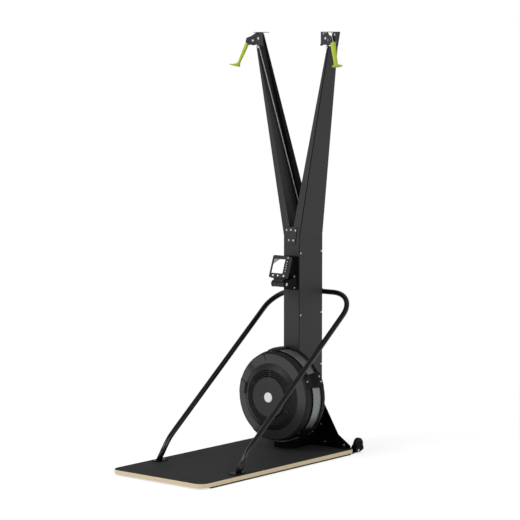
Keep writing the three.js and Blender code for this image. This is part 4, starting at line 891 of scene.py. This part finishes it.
# %% Bracket screws
FLANGE_THICKNESS = 3.4
slope_facing = Vector((1, 0, -arm_slope)).normalized()
arm_spots = []
for sign in (-1, 1):
    mirror = Vector((sign, 1, 1))
    for y, z in ((30, 2152), (46, 2112)):
        x = (arm_high.x + (z * MM - arm_high.z) * arm_slope) / MM + FLANGE_THICKNESS
        arm_spots.append((at(x, y, z) * mirror, slope_facing * mirror))
    arm_spots.append((at(220, -FLANGE_THICKNESS, 2133) * mirror, forwards))
    arm_spots.append((at(225, -0.1, 2089) * mirror, forwards))
screws("bracket_screws", arm_spots, 4.8, 3.4)

# %% [markdown]
# ## Clip screws
# Each folded clip ties the cage's front rim to its rear rim and has one screw at the front and two
# at the rear. They face outwards from the fan's middle, so an angle and a depth place each one.

# %% Clip screws
FRONT_INSET, REAR_INSET = 9 * MM, 14 * MM
REAR_TURN = 0.055
SCREW_SINK = 0.6 * MM
fan_middle = middle("fan_screen")
clip_spots = []
for number in range(1, 6):
    low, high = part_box(f"cage_clip_{number}")
    corners = [v.co - fan_middle for v in frame["nodes"][f"cage_clip_{number}"].data.vertices]
    centre = (low + high) / 2 - fan_middle
    around_fan = math.atan2(centre.z, centre.x)
    front_reach = max(math.hypot(c.x, c.z) for c in corners if c.y < (low.y - fan_middle.y) + 2 * MM)
    rear_reach = max(math.hypot(c.x, c.z) for c in corners)
    for depth, shift, reach in ((low.y + FRONT_INSET, 0, front_reach),
                                (high.y - REAR_INSET, -REAR_TURN, rear_reach),
                                (high.y - REAR_INSET, REAR_TURN, rear_reach)):
        turn = around_fan + shift
        out = Vector((math.cos(turn), 0, math.sin(turn)))
        spot = Vector((fan_middle.x, depth, fan_middle.z)) + out * (reach - SCREW_SINK)
        clip_spots.append((spot, out))
screws("clip_screws", clip_spots, 4.2, 3)

# %% [markdown]
# ## The perforated band
# Air leaves the fan through a band of perforated steel. Real bands of this kind have round holes of
# about 4.5 mm on a 7 mm pitch. A grid of squares, one for each hole, is laid out flat. Each square
# is inset and its middle is deleted, one round of subdivision makes the square hole round, and the
# sheet is bent into a hoop and joined. Solidify gives it the thickness of the sheet.

# %% Perforated band tree
tree, given = new_tree("perforated_band", ["Hoop Radius", "Band Width", "Hole Share"])
PITCH = 7 * MM
band_low, band_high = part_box("fan_screen")
hoop_radius = (band_high.x - band_low.x) / 2
band_width = band_high.y - band_low.y
across_count = round(math.tau * hoop_radius / PITCH)
deep_count = round(band_width / PITCH)
around_hoop = maths(tree, "MULTIPLY", given["Hoop Radius"], math.tau)
sheet_grid = socket(tree, "GeometryNodeMeshGrid", {
    "Size X": around_hoop, "Size Y": given["Band Width"], "Vertices X": across_count + 1,
    "Vertices Y": deep_count + 1})
inset = add(tree, "GeometryNodeExtrudeMesh", {
    "Mesh": sheet_grid, "Offset Scale": 0.0, "Individual": True}, mode="FACES")
shrunk = socket(tree, "GeometryNodeScaleElements", {
    "Geometry": inset.outputs["Mesh"], "Selection": inset.outputs["Top"],
    "Scale": given["Hole Share"]}, domain="FACE")
holed = socket(tree, "GeometryNodeDeleteGeometry", {
    "Geometry": shrunk, "Selection": inset.outputs["Top"]}, domain="FACE")
rounded = socket(tree, "GeometryNodeSubdivisionSurface", {
    "Mesh": holed, "Level": 1}, boundary_smooth="PRESERVE_CORNERS")
parts = split(tree, socket(tree, "GeometryNodeInputPosition"))
turn = maths(tree, "DIVIDE", parts["X"], given["Hoop Radius"])
turn_back = maths(tree, "MULTIPLY", turn, -1.0)
x_place, z_place = (
    maths(tree, "MULTIPLY", maths(tree, wave, turn_back), given["Hoop Radius"])
    for wave in ("COSINE", "SINE"))
hoop_place = socket(tree, "ShaderNodeCombineXYZ", {"X": x_place, "Y": parts["Y"], "Z": z_place})
hoop = socket(tree, "GeometryNodeSetPosition", {"Geometry": rounded, "Position": hoop_place})
closed = socket(tree, "GeometryNodeMergeByDistance", {"Geometry": hoop, "Distance": 0.05 * MM})
end_tree(tree, closed, given["Finish"])

# %% Grow the band and give it thickness
band = grown("perforated_screen_band", bpy.data.meshes.new("band_seed"), tree, {
    "Hoop Radius": hoop_radius, "Band Width": band_width, "Hole Share": 0.66, "Finish": screen_steel},
    body_of_node["fan_screen"])
band.data.transform(Matrix.Translation(fan_middle))
thickness = band.modifiers.new("sheet", "SOLIDIFY")
thickness.thickness = 1.4 * MM
thickness.offset = -1
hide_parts("fan_screen")
print("holes", across_count * deep_count)

# %% [markdown]
# ## The monitor's display
# The display is a pale reflective panel behind a clear lens. In the photograph it is blank white
# with a grey corner, where something dark mirrors in it. The panel is a thin plate on the monitor's
# own slanting plane, with a UV map across the white part, so the corner is a line on that map. The
# strip to the right of it, past 1 on the map, is dark. No figures are drawn on the display,
# because none can be read.

# %% Display material
display, tree = new_material("display_panel_behind_lens")
place = where(tree, "UV")
parts = split(tree, place)
slanted = maths(tree, "MULTIPLY", parts["X"], 0.72)
corner_line = maths(tree, "SUBTRACT", parts["Y"], slanted)
corner_mask = remap(tree, corner_line, (0.6, 0.63))
clouds = noise(tree, place, 3, 1)
panel_tint = blend(tree, clouds, linear("#f6f7f6"), linear("#ffffff"))
panel = blend(tree, corner_mask, panel_tint, linear("#858686"))
past_edge = maths(tree, "GREATER_THAN", parts["X"], 1.0)
framed = blend(tree, past_edge, panel, linear("#0c0c0d"))
principled(tree, {
    "Base Color": framed, "Roughness": 0.3, "Coat Weight": 0.4, "Coat Roughness": 0.05})
print("made", display.name)

# %% Display panel
# in millimetres on the monitor's own axes
DISPLAY_LEFT, DISPLAY_RIGHT = -42.7, 28.7
DISPLAY_BOTTOM, DISPLAY_TOP = 48.3, 122.7
DISPLAY_DEPTH = -29.6
PANEL_THICKNESS = 1.9 * MM
monitor_tilt = math.radians(19.5)
pivot = middle("tilt_bolt")


def on_monitor(x, y, z):
    """A point given in millimetres on the monitor's own tilted axes, from its tilt bolt."""
    return pivot + Vector((
        x, y * math.cos(monitor_tilt) + z * math.sin(monitor_tilt),
        -y * math.sin(monitor_tilt) + z * math.cos(monitor_tilt))) * MM


face_out = on_monitor(0, -1, 0) - pivot
face_out.normalize()
work = bmesh.new()
layer = work.loops.layers.uv.new("UVMap")
window_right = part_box("monitor_screen")[1].x / MM
corners = [(DISPLAY_LEFT, DISPLAY_BOTTOM), (window_right, DISPLAY_BOTTOM),
           (window_right, DISPLAY_TOP), (DISPLAY_LEFT, DISPLAY_TOP)]
panel_face = work.faces.new([work.verts.new(on_monitor(x, DISPLAY_DEPTH, z)) for x, z in corners])
raised(work, panel_face, face_out * PANEL_THICKNESS)
bmesh.ops.recalc_face_normals(work, faces=work.faces)
bmesh.ops.bevel(work, geom=work.edges[:], offset=0.5 * MM, segments=2, affect="EDGES")
for face in work.faces:
    for loop in face.loops:
        local = loop.vert.co - pivot
        height = local.y * math.sin(monitor_tilt) + local.z * math.cos(monitor_tilt)
        loop[layer].uv = ((local.x / MM - DISPLAY_LEFT) / (DISPLAY_RIGHT - DISPLAY_LEFT),
                          (height / MM - DISPLAY_BOTTOM) / (DISPLAY_TOP - DISPLAY_BOTTOM))
stand_for(piece_from(work, "display_panel", display), "monitor_screen")

# %% [markdown]
# ## Key marks
# A strip beside the display carries five small keys, and one lamp sits above them. They show as
# pale dots. The screw-head tree makes them too, with a shallower dip.

# %% Keys on the strip
KEY_COLUMN, STRIP_FACE, LAMP_FACE = 46, -34, -32.6
key_spots = [(on_monitor(KEY_COLUMN, STRIP_FACE, z), face_out) for z in (61, 73.5, 86, 98.5, 111)]
lamp_spots = [(on_monitor(KEY_COLUMN, LAMP_FACE, 131.5), face_out)]
for name, spots, radius, dip in (("membrane_keys", key_spots, 1.8, 0.1),
                                 ("status_lamp", lamp_spots, 2, 0.0)):
    screws(name, spots, radius, 1.4, body_of_node["key_strip"], white_abs, dip)

# %% [markdown]
# ## Light and floor
# The photograph has a white ground and very even light. The lamps stay at a plain level, so the
# white comes from the materials of floor and world. Near the object the floor is part glow and part
# plain paper, so that it keeps a soft shadow, and further out it fades to plain white, so that no
# horizon shows. In a reflection the world is bright low down and dims above, as in a studio with
# white walls and a darker ceiling.

# %% Floor
NEAR_GLOW = 0.7
FADE_START, FADE_END = 1.2, 3.0
REACH = 40
floor_corners = [(x * REACH, y * REACH, 0) for x, y in ((-1, -1), (1, -1), (1, 1), (-1, 1))]
floor_mesh = bpy.data.meshes.new("floor")
floor_mesh.from_pydata(floor_corners, [], [(0, 1, 2, 3)])
floor = in_scene("floor", floor_mesh)
floor_paper, tree = new_material("white_studio_paper")
distance = add(tree, "ShaderNodeVectorMath", {0: where(tree)}, operation="LENGTH")
fade = remap(tree, distance.outputs["Value"], (FADE_START, FADE_END), curve="SMOOTHSTEP")
paper, near_paper = (
    socket(tree, "ShaderNodeBsdfDiffuse", {"Color": linear(shade)}) for shade in ("#f4f4f4", "#a8a8a8"))
near_glow, white = (
    socket(tree, "ShaderNodeEmission", {"Color": (1, 1, 1, 1), "Strength": glow})
    for glow in (NEAR_GLOW, 1.0))
near_mix = socket(tree, "ShaderNodeAddShader", {0: near_paper, 1: near_glow})
seen = socket(tree, "ShaderNodeMixShader", {0: fade, 1: near_mix, 2: white})
ray = add(tree, "ShaderNodeLightPath")
surface = socket(tree, "ShaderNodeMixShader", {0: ray.outputs["Is Camera Ray"], 1: paper, 2: seen})
add(tree, "ShaderNodeOutputMaterial", {"Surface": surface})
floor_mesh.materials.append(floor_paper)

# %% World and lamps
SOFT_LIGHT, CEILING_LIGHT = 0.6, 0.3
LAMP_AIM = Vector((0, 0, 1.0))
world = bpy.data.worlds.new("studio")
world.use_nodes = True
tree = world.node_tree
tree.nodes.clear()
ray = add(tree, "ShaderNodeLightPath")
seen_through = maths(tree, "MAXIMUM", ray.outputs["Is Camera Ray"],
                     ray.outputs["Is Transmission Ray"])
bright = maths(tree, "MAXIMUM", seen_through, ray.outputs["Is Glossy Ray"])
rise = split(tree, where(tree, "Generated"))["Z"]
ceiling = remap(tree, rise, (0.02, 0.45), (1.0, CEILING_LIGHT), curve="SMOOTHSTEP")
studio = maths(tree, "MAXIMUM", ceiling, seen_through)
strength = add(tree, "ShaderNodeMix", {"Factor": bright, "A": SOFT_LIGHT, "B": studio},
               data_type="FLOAT")
sky = socket(tree, "ShaderNodeBackground", {
    "Color": (1, 1, 1, 1), "Strength": strength.outputs["Result"]})
add(tree, "ShaderNodeOutputWorld", {"Surface": sky})
scene.world = world

for name, place, size, power in (
        ("key_lamp", (-2.2, -5.0, 5.2), 3.0, 230), ("side_lamp", (5.5, -1.5, 4.2), 2.4, 70)):
    lamp = in_scene(name, bpy.data.lights.new(name, "AREA"))
    lamp.data.size = size
    lamp.data.energy = power
    lamp.location = place
    lamp.rotation_euler = (LAMP_AIM - lamp.location).to_track_quat("-Z", "Y").to_euler()
scene.view_settings.view_transform = "Standard"
